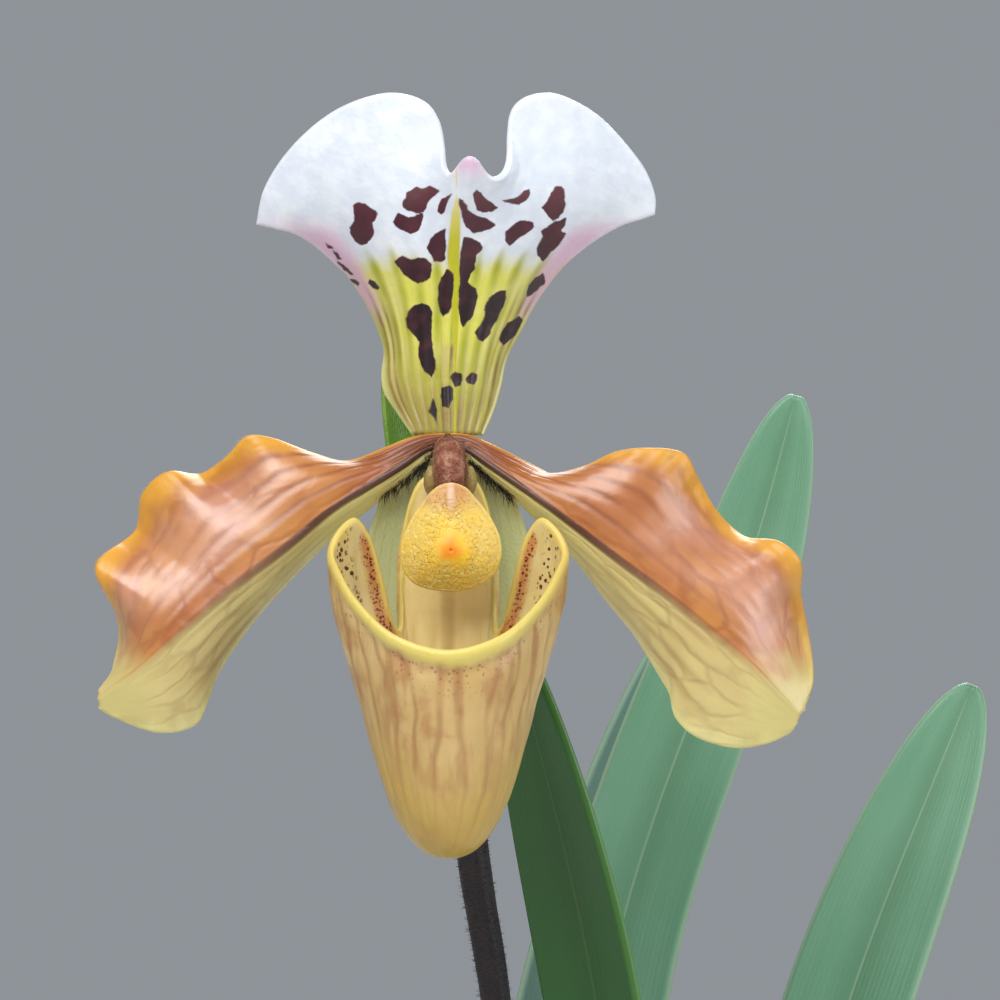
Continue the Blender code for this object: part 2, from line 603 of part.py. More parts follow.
def lip_bag(angle, height):
    """A point of the bag: an oval section whose size and middle follow the height."""
    width = np.interp(height - LIP_TOE, LIP_LEVELS, LIP_HALF_WIDTH)
    depth = np.interp(height - LIP_TOE, LIP_LEVELS, LIP_HALF_DEPTH)
    middle = np.interp(height - LIP_TOE, LIP_LEVELS, LIP_MIDDLE_DEPTH)
    return np.stack([width * np.cos(angle), middle + depth * np.sin(angle), height], axis=-1)


def lip_grid(half_columns, rows):
    """The pouch, from its rim down to its toe. The rim is a curve of its own, and its
    offset from the bag fades out below it. The other side mirrors this one."""
    rim = curve_through(LIP_RIM, half_columns + 1)
    front = np.arctan2((rim[:, 1] + 13.6) / 10.6, rim[:, 0] / 13.2)
    angle = np.maximum.accumulate(np.clip(front, -math.pi / 2, math.pi / 2))
    angle[0], angle[-1] = -math.pi / 2, math.pi / 2
    mirror = rim[-2:0:-1] * np.array([-1.0, 1.0, 1.0])
    rim = np.concatenate([rim, mirror])
    angle = np.concatenate([angle, (math.pi - angle)[-2:0:-1]])
    offset = rim - lip_bag(angle, rim[:, 2])
    grid = []
    for share in np.linspace(0, 1, rows + 1)[:-1]:
        height = LIP_TOE + (rim[:, 2] - LIP_TOE) * (1 - share) ** 1.9
        fade = (1 - smooth_step(share, 0.0, 0.42))
        grid.append(lip_bag(angle, height) + offset * fade * np.array([1.0, 1.0, 0.0]))
    pole = np.array([0.0, LIP_MIDDLE_DEPTH[0], LIP_TOE])
    return place(np.stack(grid)), place(pole)


def make_flower_leaves():
    blade("dorsal_sepal", dorsal_grid(14, 33), SEPAL_THICK, "dorsal_sepal", edge_share=0.62)
    blade("synsepal", synsepal_grid(10, 8), SEPAL_THICK, "synsepal", edge_share=0.65)
    make_petals()


def make_lip():
    grid, pole = lip_grid(20, 10)
    blade("lip", grid, LIP_THICK, "lip", edge_share=0.85, around=True, pole=pole)


def staminode_outline(turn):
    """The shield's outline: nearly round, wider low down, and drawn in at the top."""
    up = np.sin(turn)
    across = 5.75 * (1 - 0.20 * np.clip(up, 0, 1) ** 1.4)
    return across * np.cos(turn), 6.2 * up - 0.3


def make_staminode():
    """The shield that faces the viewer, domed, with a knob in the middle."""
    turns = np.linspace(0, 2 * math.pi, 25)[:-1]
    x, z = staminode_outline(turns)
    grid = []
    for share in (1.0, 0.82, 0.56, 0.28):
        dome = 2.2 * (1 - share**2) + 1.0 * math.exp(-((share / 0.3) ** 2))
        grid.append(np.stack([x * share, np.full_like(x, -dome), z * share], axis=1))
    middle = place([0.5, -10.8, -12.3])
    top = (0.0, -3.3, -0.8)
    blade("staminode", np.stack(grid) + middle, 1.2, "staminode", 0.8, True, np.array(top) + middle)


COLUMN_PATH = [(0, -1.9, 0.0), (0.1, -4.4, -0.6), (0.3, -6.8, -2.8), (0.4, -7.8, -6.4)]
COLUMN_RADII = [1.5, 1.7, 1.8, 1.8, 1.8, 1.7, 1.6, 1.3]
# The stigma behind the shield, and the pollen mass at each side of the stalk
COLUMN_LOBES = [
    ((0.4, -5.9, -8.6), (2.6, 1.7, 3.2)), ((-1.9, -5.6, -5.4), (1.2, 1.3, 1.5)), ((2.6, -5.6, -5.4), (1.2, 1.3, 1.5)),
]


def lobe(middle, size, look="column"):
    mesh_maker = bmesh.new()
    bmesh.ops.create_icosphere(
        mesh_maker, subdivisions=2, radius=1.0,
        matrix=Matrix.Translation(Vector(middle) * MM) @ Matrix.Diagonal((*[s * MM for s in size], 1.0)),
    )
    mesh = bpy.data.meshes.new("lobe")
    mesh_maker.to_mesh(mesh)
    mesh_maker.free()
    return link("lobe", mesh, look)


def make_column():
    """The column: a stout stalk over the lip, with a stigma below it and a pollen mass at
    each side."""
    path = curve_through([FLOWER + p for p in COLUMN_PATH], 8)
    body = rod("column", path, COLUMN_RADII, "column")
    for middle, size in COLUMN_LOBES:
        join = body.modifiers.new("join", "BOOLEAN")
        join.operation = "UNION"
        join.object = cutter(lobe(FLOWER + np.array(middle), size))


def main():
    clear_scene()
    make_pot()
    make_bark()
    make_crown()
    make_leaves()
    make_scape()
    make_ovary()
    make_bract()
    make_flower_leaves()
    make_lip()
    make_staminode()
    make_column()


main()
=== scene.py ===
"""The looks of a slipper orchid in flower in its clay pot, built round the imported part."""

import math

import bpy
import numpy as np
from mathutils import Matrix, Vector


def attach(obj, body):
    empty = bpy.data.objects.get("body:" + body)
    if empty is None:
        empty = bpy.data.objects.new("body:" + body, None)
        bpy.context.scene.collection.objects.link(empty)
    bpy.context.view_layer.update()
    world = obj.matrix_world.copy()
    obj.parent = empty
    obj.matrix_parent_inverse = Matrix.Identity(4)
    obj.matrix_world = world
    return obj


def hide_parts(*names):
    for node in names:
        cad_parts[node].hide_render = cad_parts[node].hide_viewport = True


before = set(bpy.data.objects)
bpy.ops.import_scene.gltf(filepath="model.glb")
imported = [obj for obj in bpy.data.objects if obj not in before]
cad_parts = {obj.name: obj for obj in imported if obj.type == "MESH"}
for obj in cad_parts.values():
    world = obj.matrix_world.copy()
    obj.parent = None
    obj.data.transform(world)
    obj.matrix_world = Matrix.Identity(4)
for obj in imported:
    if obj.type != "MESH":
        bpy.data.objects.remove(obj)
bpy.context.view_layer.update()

MM = 0.001
FLOWER = np.array([-11.0, -45.0, 318.0])
VIEW_DISTANCE = 580.0
VIEW_POINT = (6.5, -7.8)
VIEW_TILT = math.radians(3)
VIEW_WIDTH = 125.0


# Curves, noise and meshes


def read_curve(points, shares):
    """A smooth curve through the points, read at shares of its length. Each span is the
    cubic (2t3-3t2+1)A + (t3-2t2+t)a + (3t2-2t3)B + (t3-t2)b, with end slopes a and b."""
    points = np.asarray(points, float)
    steps = np.sqrt(np.linalg.norm(np.diff(points, axis=0), axis=1))
    knots = np.concatenate([[0.0], np.cumsum(steps)])
    slopes = np.gradient(points, knots, axis=0)
    fine = np.linspace(0.0, knots[-1], 60 * len(points))
    span = np.clip(np.searchsorted(knots, fine, side="right") - 1, 0, len(points) - 2)
    width = (knots[span + 1] - knots[span])[:, None]
    t = (fine - knots[span])[:, None] / width
    read = (
        (2 * t**3 - 3 * t**2 + 1) * points[span]
        + (t**3 - 2 * t**2 + t) * width * slopes[span]
        + (3 * t**2 - 2 * t**3) * points[span + 1]
        + (t**3 - t**2) * width * slopes[span + 1]
    )
    length = np.concatenate([[0.0], np.cumsum(np.linalg.norm(np.diff(read, axis=0), axis=1))])
    wanted = np.asarray(shares) * length[-1]
    columns = [np.interp(wanted, length, read[:, k]) for k in range(points.shape[1])]
    return np.stack(columns, axis=-1)


def smooth_step(value, low, high):
    """3t2 - 2t3 with t = (value - low) / (high - low), held between 0 and 1."""
    t = np.clip((value - low) / (high - low), 0.0, 1.0)
    return t * t * (3 - 2 * t)


def hill(value, middle, width):
    """exp(-((value - middle) / width)^2)."""
    return np.exp(-(((value - middle) / width) ** 2))


def soft_noise(x, y, seed):
    """Smooth noise from -1 to 1: four random heights round each unit cell, blended."""
    heights = np.random.default_rng(seed).uniform(-1, 1, (64, 64))
    i, j = np.floor(x).astype(int), np.floor(y).astype(int)
    a, b = smooth_step(x - i, 0, 1), smooth_step(y - j, 0, 1)
    low = heights[i % 64, j % 64] * (1 - a) + heights[(i + 1) % 64, j % 64] * a
    high = heights[i % 64, (j + 1) % 64] * (1 - a) + heights[(i + 1) % 64, (j + 1) % 64] * a
    return low * (1 - b) + high * b


def even_out(grid, rounds=2500):
    """Spreads a grid's inner points so that its lines don't cross. Each point goes to
    (a (above + below) + c (left + right) - b/2 (diagonals)) / 2(a + c), where c and a are the
    squared lengths of its slopes down and across, and b is the two slopes' product."""
    g = grid.copy()
    for _ in range(rounds):
        across = (g[1:-1, 2:] - g[1:-1, :-2]) / 2
        down = (g[2:, 1:-1] - g[:-2, 1:-1]) / 2
        a = np.sum(across**2, axis=2, keepdims=True)
        c = np.sum(down**2, axis=2, keepdims=True)
        b = np.sum(across * down, axis=2, keepdims=True)
        corners = g[2:, 2:] - g[:-2, 2:] - g[2:, :-2] + g[:-2, :-2]
        moved = a * (g[2:, 1:-1] + g[:-2, 1:-1]) + c * (g[1:-1, 2:] + g[1:-1, :-2])
        g[1:-1, 1:-1] = (moved - b * corners / 2) / (2 * (a + c) + 1e-12)
    return g


def between(grid, downs, acrosses):
    """Reads a coarse grid at shares down and across it, with the cubic that passes through
    four neighbours: half of (2b + (c-a)t + (2a-5b+4c-d)t2 + (3b-a-3c+d)t3)."""
    for axis, shares in ((0, downs), (1, acrosses)):
        count = grid.shape[axis]
        spot = shares * (count - 1)
        k = np.clip(np.floor(spot).astype(int), 0, count - 2)
        t = (spot - k).reshape((-1, 1, 1) if axis == 0 else (1, -1, 1))
        first, last = np.take(grid, [0, 1], axis), np.take(grid, [-2, -1], axis)
        before = 2 * np.take(first, [0], axis) - np.take(first, [1], axis)
        after = 2 * np.take(last, [1], axis) - np.take(last, [0], axis)
        wide = np.concatenate([before, grid, after], axis=axis)
        a, b, c, d = (np.take(wide, k + j, axis) for j in range(4))
        square = (2 * a - 5 * b + 4 * c - d) * t**2
        grid = (2 * b + (c - a) * t + square + (3 * b - a - 3 * c + d) * t**3) / 2
    return grid


def unit(vectors):
    """The vectors with length 1."""
    return vectors / np.linalg.norm(vectors, axis=-1, keepdims=True)


def turned_to(along, up):
    """Unit directions across a path and up from it, at right angles to the path."""
    up = unit(up - along * np.sum(up * along, axis=1)[:, None])
    return np.cross(along, up), up


def marks_of(*numbers):
    """Numbers over a grid, side by side. One that changes only down or only across the grid
    is spread over the whole of it."""
    return np.stack(np.broadcast_arrays(*numbers), axis=-1)


def fine_edges(count, edge=0.012):
    """Shares from 0 to 1 that lie close together at both ends."""
    close = edge * np.array([0, 0.2, 0.6])
    return np.concatenate([close, np.linspace(edge, 1 - edge, count), 1 - close[::-1]])


def place(points):
    """Moves points from where the viewer sees them to their true places for their depth."""
    out = np.array(points, float)
    scale = 1 + out[..., 1] / VIEW_DISTANCE
    out[..., 0] = VIEW_POINT[0] + (out[..., 0] - VIEW_POINT[0]) * scale
    out[..., 2] = VIEW_POINT[1] + (out[..., 2] - VIEW_POINT[1]) * scale
    out[..., 2] -= out[..., 1] * math.tan(VIEW_TILT)
    return out + FLOWER


def normals_of(grid, around=False):
    """Unit normals of a grid: the cross product of its two slopes."""
    if around:
        wide = np.concatenate([grid[:, -1:], grid, grid[:, :1]], axis=1)
        across = np.gradient(wide, axis=1)[:, 1:-1]
    else:
        across = np.gradient(grid, axis=1)
    normal = np.cross(across, np.gradient(grid, axis=0))
    return normal / np.maximum(np.linalg.norm(normal, axis=2), 1e-9)[..., None]


def grid_faces(rows, columns, around=False, start=0, flip=False):
    """The four-sided faces between neighbouring points of a grid."""
    last = columns if around else columns - 1
    r, c = np.meshgrid(np.arange(rows - 1), np.arange(last), indexing="ij")
    n = (c + 1) % columns
    low, high = r * columns + start, (r + 1) * columns + start
    faces = np.stack([low + c, high + c, high + n, low + n], axis=-1).reshape(-1, 4)
    return faces[:, ::-1] if flip else faces


def make_mesh(name, points, *faces, **values):
    """A smooth mesh object from points in mm and arrays of faces. Each named value becomes
    an attribute of its points, with one or three numbers each."""
    mesh = bpy.data.meshes.new(name)
    points = np.asarray(points, np.float32).reshape(-1, 3) * MM
    sizes = np.concatenate([np.full(len(some), some.shape[1]) for some in faces])
    corners = np.concatenate([some.ravel() for some in faces])
    mesh.vertices.add(len(points))
    mesh.vertices.foreach_set("co", points.ravel())
    mesh.loops.add(len(corners))
    mesh.loops.foreach_set("vertex_index", corners.astype(np.int32))
    mesh.polygons.add(len(sizes))
    mesh.polygons.foreach_set("loop_start", (np.cumsum(sizes) - sizes).astype(np.int32))
    mesh.update(calc_edges=True)
    mesh.validate()
    for key, value in values.items():
        value = np.asarray(value, np.float32)
        vector = value.ndim == 2
        made = mesh.attributes.new(key, "FLOAT_VECTOR" if vector else "FLOAT", "POINT")
        made.data.foreach_set("vector" if vector else "value", value.ravel())
    mesh.shade_smooth()
    obj = bpy.data.objects.new(name, mesh)
    bpy.context.scene.collection.objects.link(obj)
    return obj


def use(obj, material, slot, *nodes):
    """Gives the piece its material and lets it stand for its nodes. The slot is not used."""
    obj.data.materials.append(material)
    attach(obj, "root")
    if nodes:
        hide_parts(*nodes)
    return obj


def sheet(name, grid, thickness, round_edge=0.5, around=False, **values):
    """A thin body with a grid as its middle. Half its thickness goes to each side, and it
    narrows to its edges as sqrt(1 - (1 - d)^2), with d the distance from the edge over
    round_edge. The attribute side is 0 on the first face and 1 on the second."""
    rows, columns = grid.shape[:2]
    down = np.cumsum(np.linalg.norm(np.diff(grid, axis=0, prepend=grid[:1]), axis=2), axis=0)
    off = np.minimum(down, down[-1:] - down)
    if not around:
        over = np.cumsum(np.linalg.norm(np.diff(grid, axis=1, prepend=grid[:, :1]), axis=2), axis=1)
        off = np.minimum(off, np.minimum(over, over[:, -1:] - over))
    share = np.sqrt(1 - (1 - np.clip(off / round_edge, 0.0, 1.0)) ** 2)
    lift = normals_of(grid, around) * (thickness / 2 * np.maximum(share, 0.12))[..., None]
    points = np.concatenate([(grid + lift).reshape(-1, 3), (grid - lift).reshape(-1, 3)])
    count = rows * columns
    index = np.arange(count).reshape(rows, columns)
    if around:
        loops = [np.append(index[0], index[0, 0]), np.append(index[-1], index[-1, 0])[::-1]]
    else:
        down_and_back = [index[1:, -1], index[-1, -2::-1], index[-2:0:-1, 0], index[:1, 0]]
        loops = [np.concatenate([index[0]] + down_and_back)]
    rim = [
        np.stack([loop[:-1], loop[1:], loop[1:] + count, loop[:-1] + count], axis=1)
        for loop in loops
    ]
    faces = np.concatenate(
        [grid_faces(rows, columns, around), grid_faces(rows, columns, around, count, True)] + rim
    )
    doubled = {
        key: np.concatenate([value.reshape(count, *value.shape[2:])] * 2)
        for key, value in values.items()
    }
    doubled["side"] = np.repeat([0.0, 1.0], count)
    return make_mesh(name, points, faces[:, ::-1], **doubled)


def tube_grid(path, radii, sides, ribs=0, rib_depth=0.0):
    """Rings round a path. A ring's radius is r (1 + depth cos(ribs a))."""
    out = np.array([1.0, 0.0, 0.0])
    rings = []
    turn = np.linspace(0, 2 * math.pi, sides, endpoint=False)
    for point, heading, radius in zip(path, unit(np.gradient(path, axis=0)), radii):
        out = unit(out - heading * np.dot(out, heading))
        r = radius * (1 + rib_depth * np.cos(ribs * turn))
        spoke = np.cos(turn)[:, None] * out + np.sin(turn)[:, None] * np.cross(heading, out)
        rings.append(point + r[:, None] * spoke)
    return np.stack(rings)


def closed_faces(rows, sides):
    """The faces of a tube whose two end points follow its grid's points."""
    k = np.arange(sides)
    n = (k + 1) % sides
    top = (rows - 1) * sides
    low = np.stack([n, k, np.full(sides, rows * sides)], axis=1)
    high = np.stack([k + top, n + top, np.full(sides, rows * sides + 1)], axis=1)
    return grid_faces(rows, sides, True, flip=True), np.concatenate([low, high])


def closed_tube(name, grid, **values):
    """A tube with its two ends shut by a point each, which takes the marks of a neighbour."""
    rows, sides = grid.shape[:2]
    points = np.concatenate([grid.reshape(-1, 3), [grid[0].mean(axis=0), grid[-1].mean(axis=0)]])
    for key, value in values.items():
        flat = value.reshape(rows * sides, *value.shape[2:])
        values[key] = np.concatenate([flat, flat[:1], flat[-1:]])
    return make_mesh(name, points, *closed_faces(rows, sides), **values)


def needles(name, roots, tips, radius, droop=0.0):
    """Hairs as three-sided needles. Each bends in the middle by droop of its length."""
    roots, tips = np.asarray(roots, float), np.asarray(tips, float)
    length = np.linalg.norm(tips - roots, axis=1)[:, None]
    axis = (tips - roots) / length
    side = unit(np.cross(axis, [0.31, 0.52, 0.79]))
    other = np.cross(axis, side)
    middle = (roots + tips) / 2 + np.array([0, 0, 1.0]) * droop * length
    rings = []
    for centre, size in ((roots, radius), (middle, radius * 0.75)):
        for k in range(3):
            turn = 2 * math.pi * k / 3
            rings.append(centre + size * (math.cos(turn) * side + math.sin(turn) * other))
    points = np.stack(rings + [tips], axis=1).reshape(-1, 3)
    faces = []
    for k in range(3):
        n = (k + 1) % 3
        faces += [[k, n, 3 + n], [k, 3 + n, 3 + k], [3 + k, 3 + n, 6]]
    faces.append([2, 1, 0])
    faces = (np.arange(len(roots))[:, None, None] * 7 + np.array(faces)[None]).reshape(-1, 3)
    return make_mesh(name, points, faces)


# Materials


class Value:
    """A shader socket that can stand in a formula, such as 1 - a * b."""

    def __init__(self, nodes, socket):
        self.nodes, self.socket = nodes, socket

    def __add__(self, other):
        return self.nodes.math("ADD", self, other)

    def __sub__(self, other):
        return self.nodes.math("SUBTRACT", self, other)

    def __rsub__(self, other):
        return self.nodes.math("SUBTRACT", other, self)

    def __mul__(self, other):
        return self.nodes.math("MULTIPLY", self, other)

    def __truediv__(self, other):
        return self.nodes.math("DIVIDE", self, other)

    def __abs__(self):
        return self.nodes.math("ABSOLUTE", self)

    __radd__, __rmul__ = __add__, __mul__


class Nodes:
    """Short ways to add and join shader nodes in one tree."""

    def __init__(self, tree):
        self.tree = tree

    def add(self, kind, *given, **settings):
        """Adds a node with its settings, and gives its first inputs their values."""
        node = self.tree.nodes.new("ShaderNode" + kind)
        for key, value in settings.items():
            setattr(node, key, value)
        for socket, value in zip(node.inputs, given):
            self.set(socket, value)
        return node

    def set(self, socket, value):
        """Joins a value to a socket, or sets the socket to a number or a colour."""
        if isinstance(value, Value):
            self.tree.links.new(value.socket, socket)
        elif isinstance(value, tuple) and len(socket.default_value) == 4:
            socket.default_value = (*value, 1.0)[:4]
        else:
            socket.default_value = value

    def read(self, node):
        """A node's outputs as values, by their names."""
        return {socket.name: Value(self, socket) for socket in node.outputs}

    def math(self, how, *given, clamp=False):
        """One step of arithmetic."""
        return Value(self, self.add("Math", *given, operation=how, use_clamp=clamp).outputs[0])

    def mix(self, share, a, b):
        """Colour a, or colour b where the share is 1."""
        node = self.add("Mix", share, data_type="RGBA")
        self.set(node.inputs[6], a)
        self.set(node.inputs[7], b)
        return Value(self, node.outputs[2])

    def step(self, value, low, high):
        """A smooth rise from 0 at low to 1 at high."""
        node = self.add("MapRange", value, low, high, interpolation_type="SMOOTHSTEP")
        return Value(self, node.outputs[0])

    def fall(self, value, low, high):
        """A smooth fall from 1 at low to 0 at high."""
        return 1 - self.step(value, low, high)

    def marks(self, name):
        """The three numbers that a piece's attribute holds."""
        return self.split(self.read(self.add("Attribute", attribute_name=name))["Vector"])

    def mark(self, name):
        """The number that a piece's attribute holds."""
        return self.read(self.add("Attribute", attribute_name=name))["Fac"]

    def split(self, vector):
        """A vector's three numbers."""
        return list(self.read(self.add("SeparateXYZ", vector)).values())

    def join(self, *numbers):
        """A vector of up to three numbers."""
        return self.read(self.add("CombineXYZ", *numbers))["Vector"]

    def spot(self):
        """Where a point lies on its piece, in metres."""
        return self.read(self.add("TexCoord"))["Object"]

    def stretched(self, *sizes):
        """Where a point lies on its piece, with each way multiplied by its size."""
        node = self.add("Mapping", self.spot())
        node.inputs["Scale"].default_value = sizes
        return self.read(node)["Vector"]

    def noise(self, scale, detail=2.0, vector=None, roughness=0.5):
        """Soft noise from 0 to 1."""
        node = self.add("TexNoise")
        self.set(node.inputs["Vector"], vector or self.spot())
        self.set(node.inputs["Scale"], scale)
        node.inputs["Detail"].default_value = detail
        node.inputs["Roughness"].default_value = roughness
        return Value(self, node.outputs[0])

    def wander(self, size, scale, detail=2.0):
        """Soft noise round 0, size from lowest to highest."""
        return (self.noise(scale, detail) - 0.5) * size

    def cells(self, scale, kind="F1", vector=None, smooth=None):
        """Cells round random points: the distance to the point and a random colour."""
        node = self.add("TexVoronoi", feature=kind)
        self.set(node.inputs["Vector"], vector or self.spot())
        self.set(node.inputs["Scale"], scale)
        if smooth is not None:
            node.inputs["Smoothness"].default_value = smooth
        return self.read(node)

    def group(self, group, **values):
        """A shared effect with its own values."""
        node = self.add("Group", node_tree=group)
        for key, value in values.items():
            self.set(node.inputs[key], value)
        return self.read(node)


def new_group(name, inputs, outputs):
    """A shader node group with named number, colour or vector sockets. Gives back its tree,
    its nodes, its inputs as values, and the sockets of its output."""
    tree = bpy.data.node_groups.new(name, "ShaderNodeTree")
    kinds = {"F": "NodeSocketFloat", "C": "NodeSocketColor", "V": "NodeSocketVector"}
    for key, (kind, value) in inputs.items():
        socket = tree.interface.new_socket(key, in_out="INPUT", socket_type=kinds[kind])
        socket.default_value = value
    for key, kind in outputs.items():
        tree.interface.new_socket(key, in_out="OUTPUT", socket_type=kinds[kind])
    nodes = Nodes(tree)
    given = nodes.read(tree.nodes.new("NodeGroupInput"))
    return tree, nodes, given, tree.nodes.new("NodeGroupOutput").inputs


def lines_group():
    """Veins. Sharp dark lines at whole numbers of Across: 1 - |2 frac - 1| close to 0, with
    a wobble of soft noise and a strength that comes and goes along each line."""
    tree, n, given, out = new_group(
        "veins",
        {"Across": ("F", 0.0), "Width": ("F", 0.12), "Wobble": ("F", 0.15), "Scale": ("F", 300.0)},
        {"Mask": "F"},
    )
    wobble = n.wander(given["Wobble"], given["Scale"], 2.0)
    across = given["Across"] + wobble
    off = abs(n.math("FRACT", across) - 0.5)
    line = n.fall(off, 0.0, given["Width"])
    broken = n.step(n.noise(given["Scale"] * 2.2, 2.0), 0.28, 0.62)
    n.set(out["Mask"], line * (broken * 0.65 + 0.35))
    return tree


def tissue_group():
    """Living tissue: a blotchy tint of the colour, and a height of rounded cells."""
    tree, n, given, out = new_group(
        "tissue",
        {
            "Color": ("C", (1, 1, 1, 1)), "Tint": ("C", (0.5, 0.4, 0.3, 1)), "Amount": ("F", 0.3),
            "Scale": ("F", 250.0), "Cells": ("F", 2500.0),
        },
        {"Color": "C", "Height": "F"},
    )
    blotch = n.step(n.noise(given["Scale"], 4.0), 0.35, 0.75)
    n.set(out["Color"], n.mix(blotch * given["Amount"], given["Color"], given["Tint"]))
    n.set(out["Height"], 1 - n.cells(given["Cells"], "SMOOTH_F1", smooth=0.6)["Distance"])
    return tree


def speckle_group():
    """Small ragged dots: Voronoi cells whose distance, with noise, is under a random size."""
    tree, n, given, out = new_group(
        "speckles", {"Scale": ("F", 900.0), "Size": ("F", 0.3), "Share": ("F", 0.5)}, {"Mask": "F"}
    )
    cells = n.cells(given["Scale"])
    drawn = n.split(cells["Color"])
    size = given["Size"] * (drawn[0] * 0.7 + 0.45)
    ragged = n.wander(0.45, given["Scale"] * 1.6, 2.0)
    off = cells["Distance"] + ragged
    dot = n.fall(off / size, 0.75, 1.05)
    n.set(out["Mask"], dot * n.math("LESS_THAN", drawn[1], given["Share"]))
    return tree


def net_group():
    """A net of veins: the borders of Voronoi cells, whose distance is under Width, with the
    cells pushed about by soft noise."""
    tree, n, given, out = new_group(
        "vein net",
        {
            "Vector": ("V", (0, 0, 0)),
            "Width": ("F", 0.1),
            "Wobble": ("F", 0.5),
            "Scale": ("F", 200.0),
        },
        {"Mask": "F"},
    )
    noise = n.add("TexNoise")
    n.set(noise.inputs["Vector"], n.spot())
    n.set(noise.inputs["Scale"], given["Scale"])
    push = n.read(noise)["Color"]
    wobble = n.join(given["Wobble"], given["Wobble"], given["Wobble"])
    moved = n.add("VectorMath", push, wobble, given["Vector"], operation="MULTIPLY_ADD")
    cells = n.cells(1.0, "DISTANCE_TO_EDGE", n.read(moved)["Vector"])
    n.set(out["Mask"], n.fall(cells["Distance"], 0.0, given["Width"]))
    return tree


VEINS = lines_group()
NET = net_group()
TISSUE = tissue_group()
SPECKLES = speckle_group()


def new_material(name, roughness=0.5, coat=0.0, inner=0.0, reach=1.0):
    """A Principled material. inner is how much light passes into it, and reach is how far,
    in mm."""
    material = bpy.data.materials.new(name)
    material.use_nodes = True
    shader = material.node_tree.nodes["Principled BSDF"]
    settings = {
        "Roughness": roughness,
        "Coat Weight": coat,
        "Coat Roughness": 0.22,
        "Subsurface Weight": inner,
        "Subsurface Radius": (1.0, 0.7, 0.4),
        "Subsurface Scale": reach * MM,
    }
    for key, value in settings.items():
        shader.inputs[key].default_value = value
    return material, Nodes(material.node_tree), shader


def finish_look(n, shader, color, height=None, depth=0.1, roughness=None):
    """Joins a material's colour, roughness and bump. depth is the bump's height in mm."""
    n.set(shader.inputs["Base Color"], color)
    if roughness is not None:
        n.set(shader.inputs["Roughness"], roughness)
    if height is not None:
        bump = n.add("Bump")
        n.set(bump.inputs["Height"], height)
        n.set(bump.inputs["Distance"], depth * MM)
        n.set(bump.inputs["Strength"], 1.0)
        n.set(shader.inputs["Normal"], n.read(bump)["Normal"])


def dorsal_look():
    """White above and yellow-green below, with maroon spots. The attribute place holds
    (share across, mm above the flower's centre, mm from the nearest spot), and tint holds
    how much of the midrib, of lilac and of brown there is."""
    material, n, shader = new_material("dorsal sepal", 0.44, 0.12, 0.25, 1.2)
    across, up, spot = n.marks("place")
    midrib, lilac, brown = n.marks("tint")
    side = n.mark("side")
    white = n.mix(n.step(n.noise(420.0, 3.0), 0.3, 0.8), (0.66, 0.71, 0.8), (0.78, 0.82, 0.88))
    vein = n.group(VEINS, Across=across * 10.5, Width=0.36, Wobble=0.3, Scale=70.0)["Mask"]
    yellow = n.mix(n.step(n.noise(260.0), 0.35, 0.7), (0.68, 0.66, 0.11), (0.74, 0.7, 0.22))
    yellow = n.mix(n.fall(up, 3.0, 15.0), yellow, (0.42, 0.35, 0.09))
    yellow = n.mix(vein * 0.9, yellow, (0.36, 0.37, 0.008))
    wavy = up + n.wander(2.6, 190.0) - vein * 1.1
    base = n.mix(n.fall(wavy, 20.0, 23.4), white, yellow)
    midrib_color = n.mix(n.step(up, 24.0, 31.0), (0.52, 0.5, 0.012), (0.74, 0.66, 0.26))
    base = n.mix(midrib, base, midrib_color)
    base = n.mix(lilac * 0.85, base, (0.7, 0.44, 0.62))
    strands = n.group(VEINS, Across=across * 21.0 + 0.3, Width=0.42, Wobble=0.5, Scale=120.0)
    base = n.mix(brown * strands["Mask"] * 0.95, base, (0.24, 0.115, 0.05))
    base = n.mix(brown * 0.12, base, (0.3, 0.17, 0.08))
    out = abs(across * 2.0 - 1.0)
    flap = n.step(out, 0.88, 0.97) * n.fall(up, 8.5, 11.5)
    base = n.mix(flap * 0.8, base, (0.66, 0.66, 0.28))
    ragged = spot + n.wander(0.75, 620.0, 4.0)
    inked = n.fall(ragged, -0.1, 0.1) * (1 - side * 0.8)
    maroon = n.mix(n.step(up, 16.0, 27.0), (0.014, 0.002, 0.004), (0.06, 0.007, 0.016))
    maroon = n.mix(n.step(up, 27.0, 31.5) * 0.6, maroon, (0.16, 0.045, 0.055))
    maroon = n.mix(n.step(n.noise(500.0, 3.0), 0.45, 0.7) * 0.35, maroon, (0.13, 0.02, 0.035))
    base = n.mix(inked, base, maroon)
    height = vein * 0.5 + n.noise(1400.0, 3.0) * 0.5
    finish_look(n, shader, base, height, 0.12)
    return material


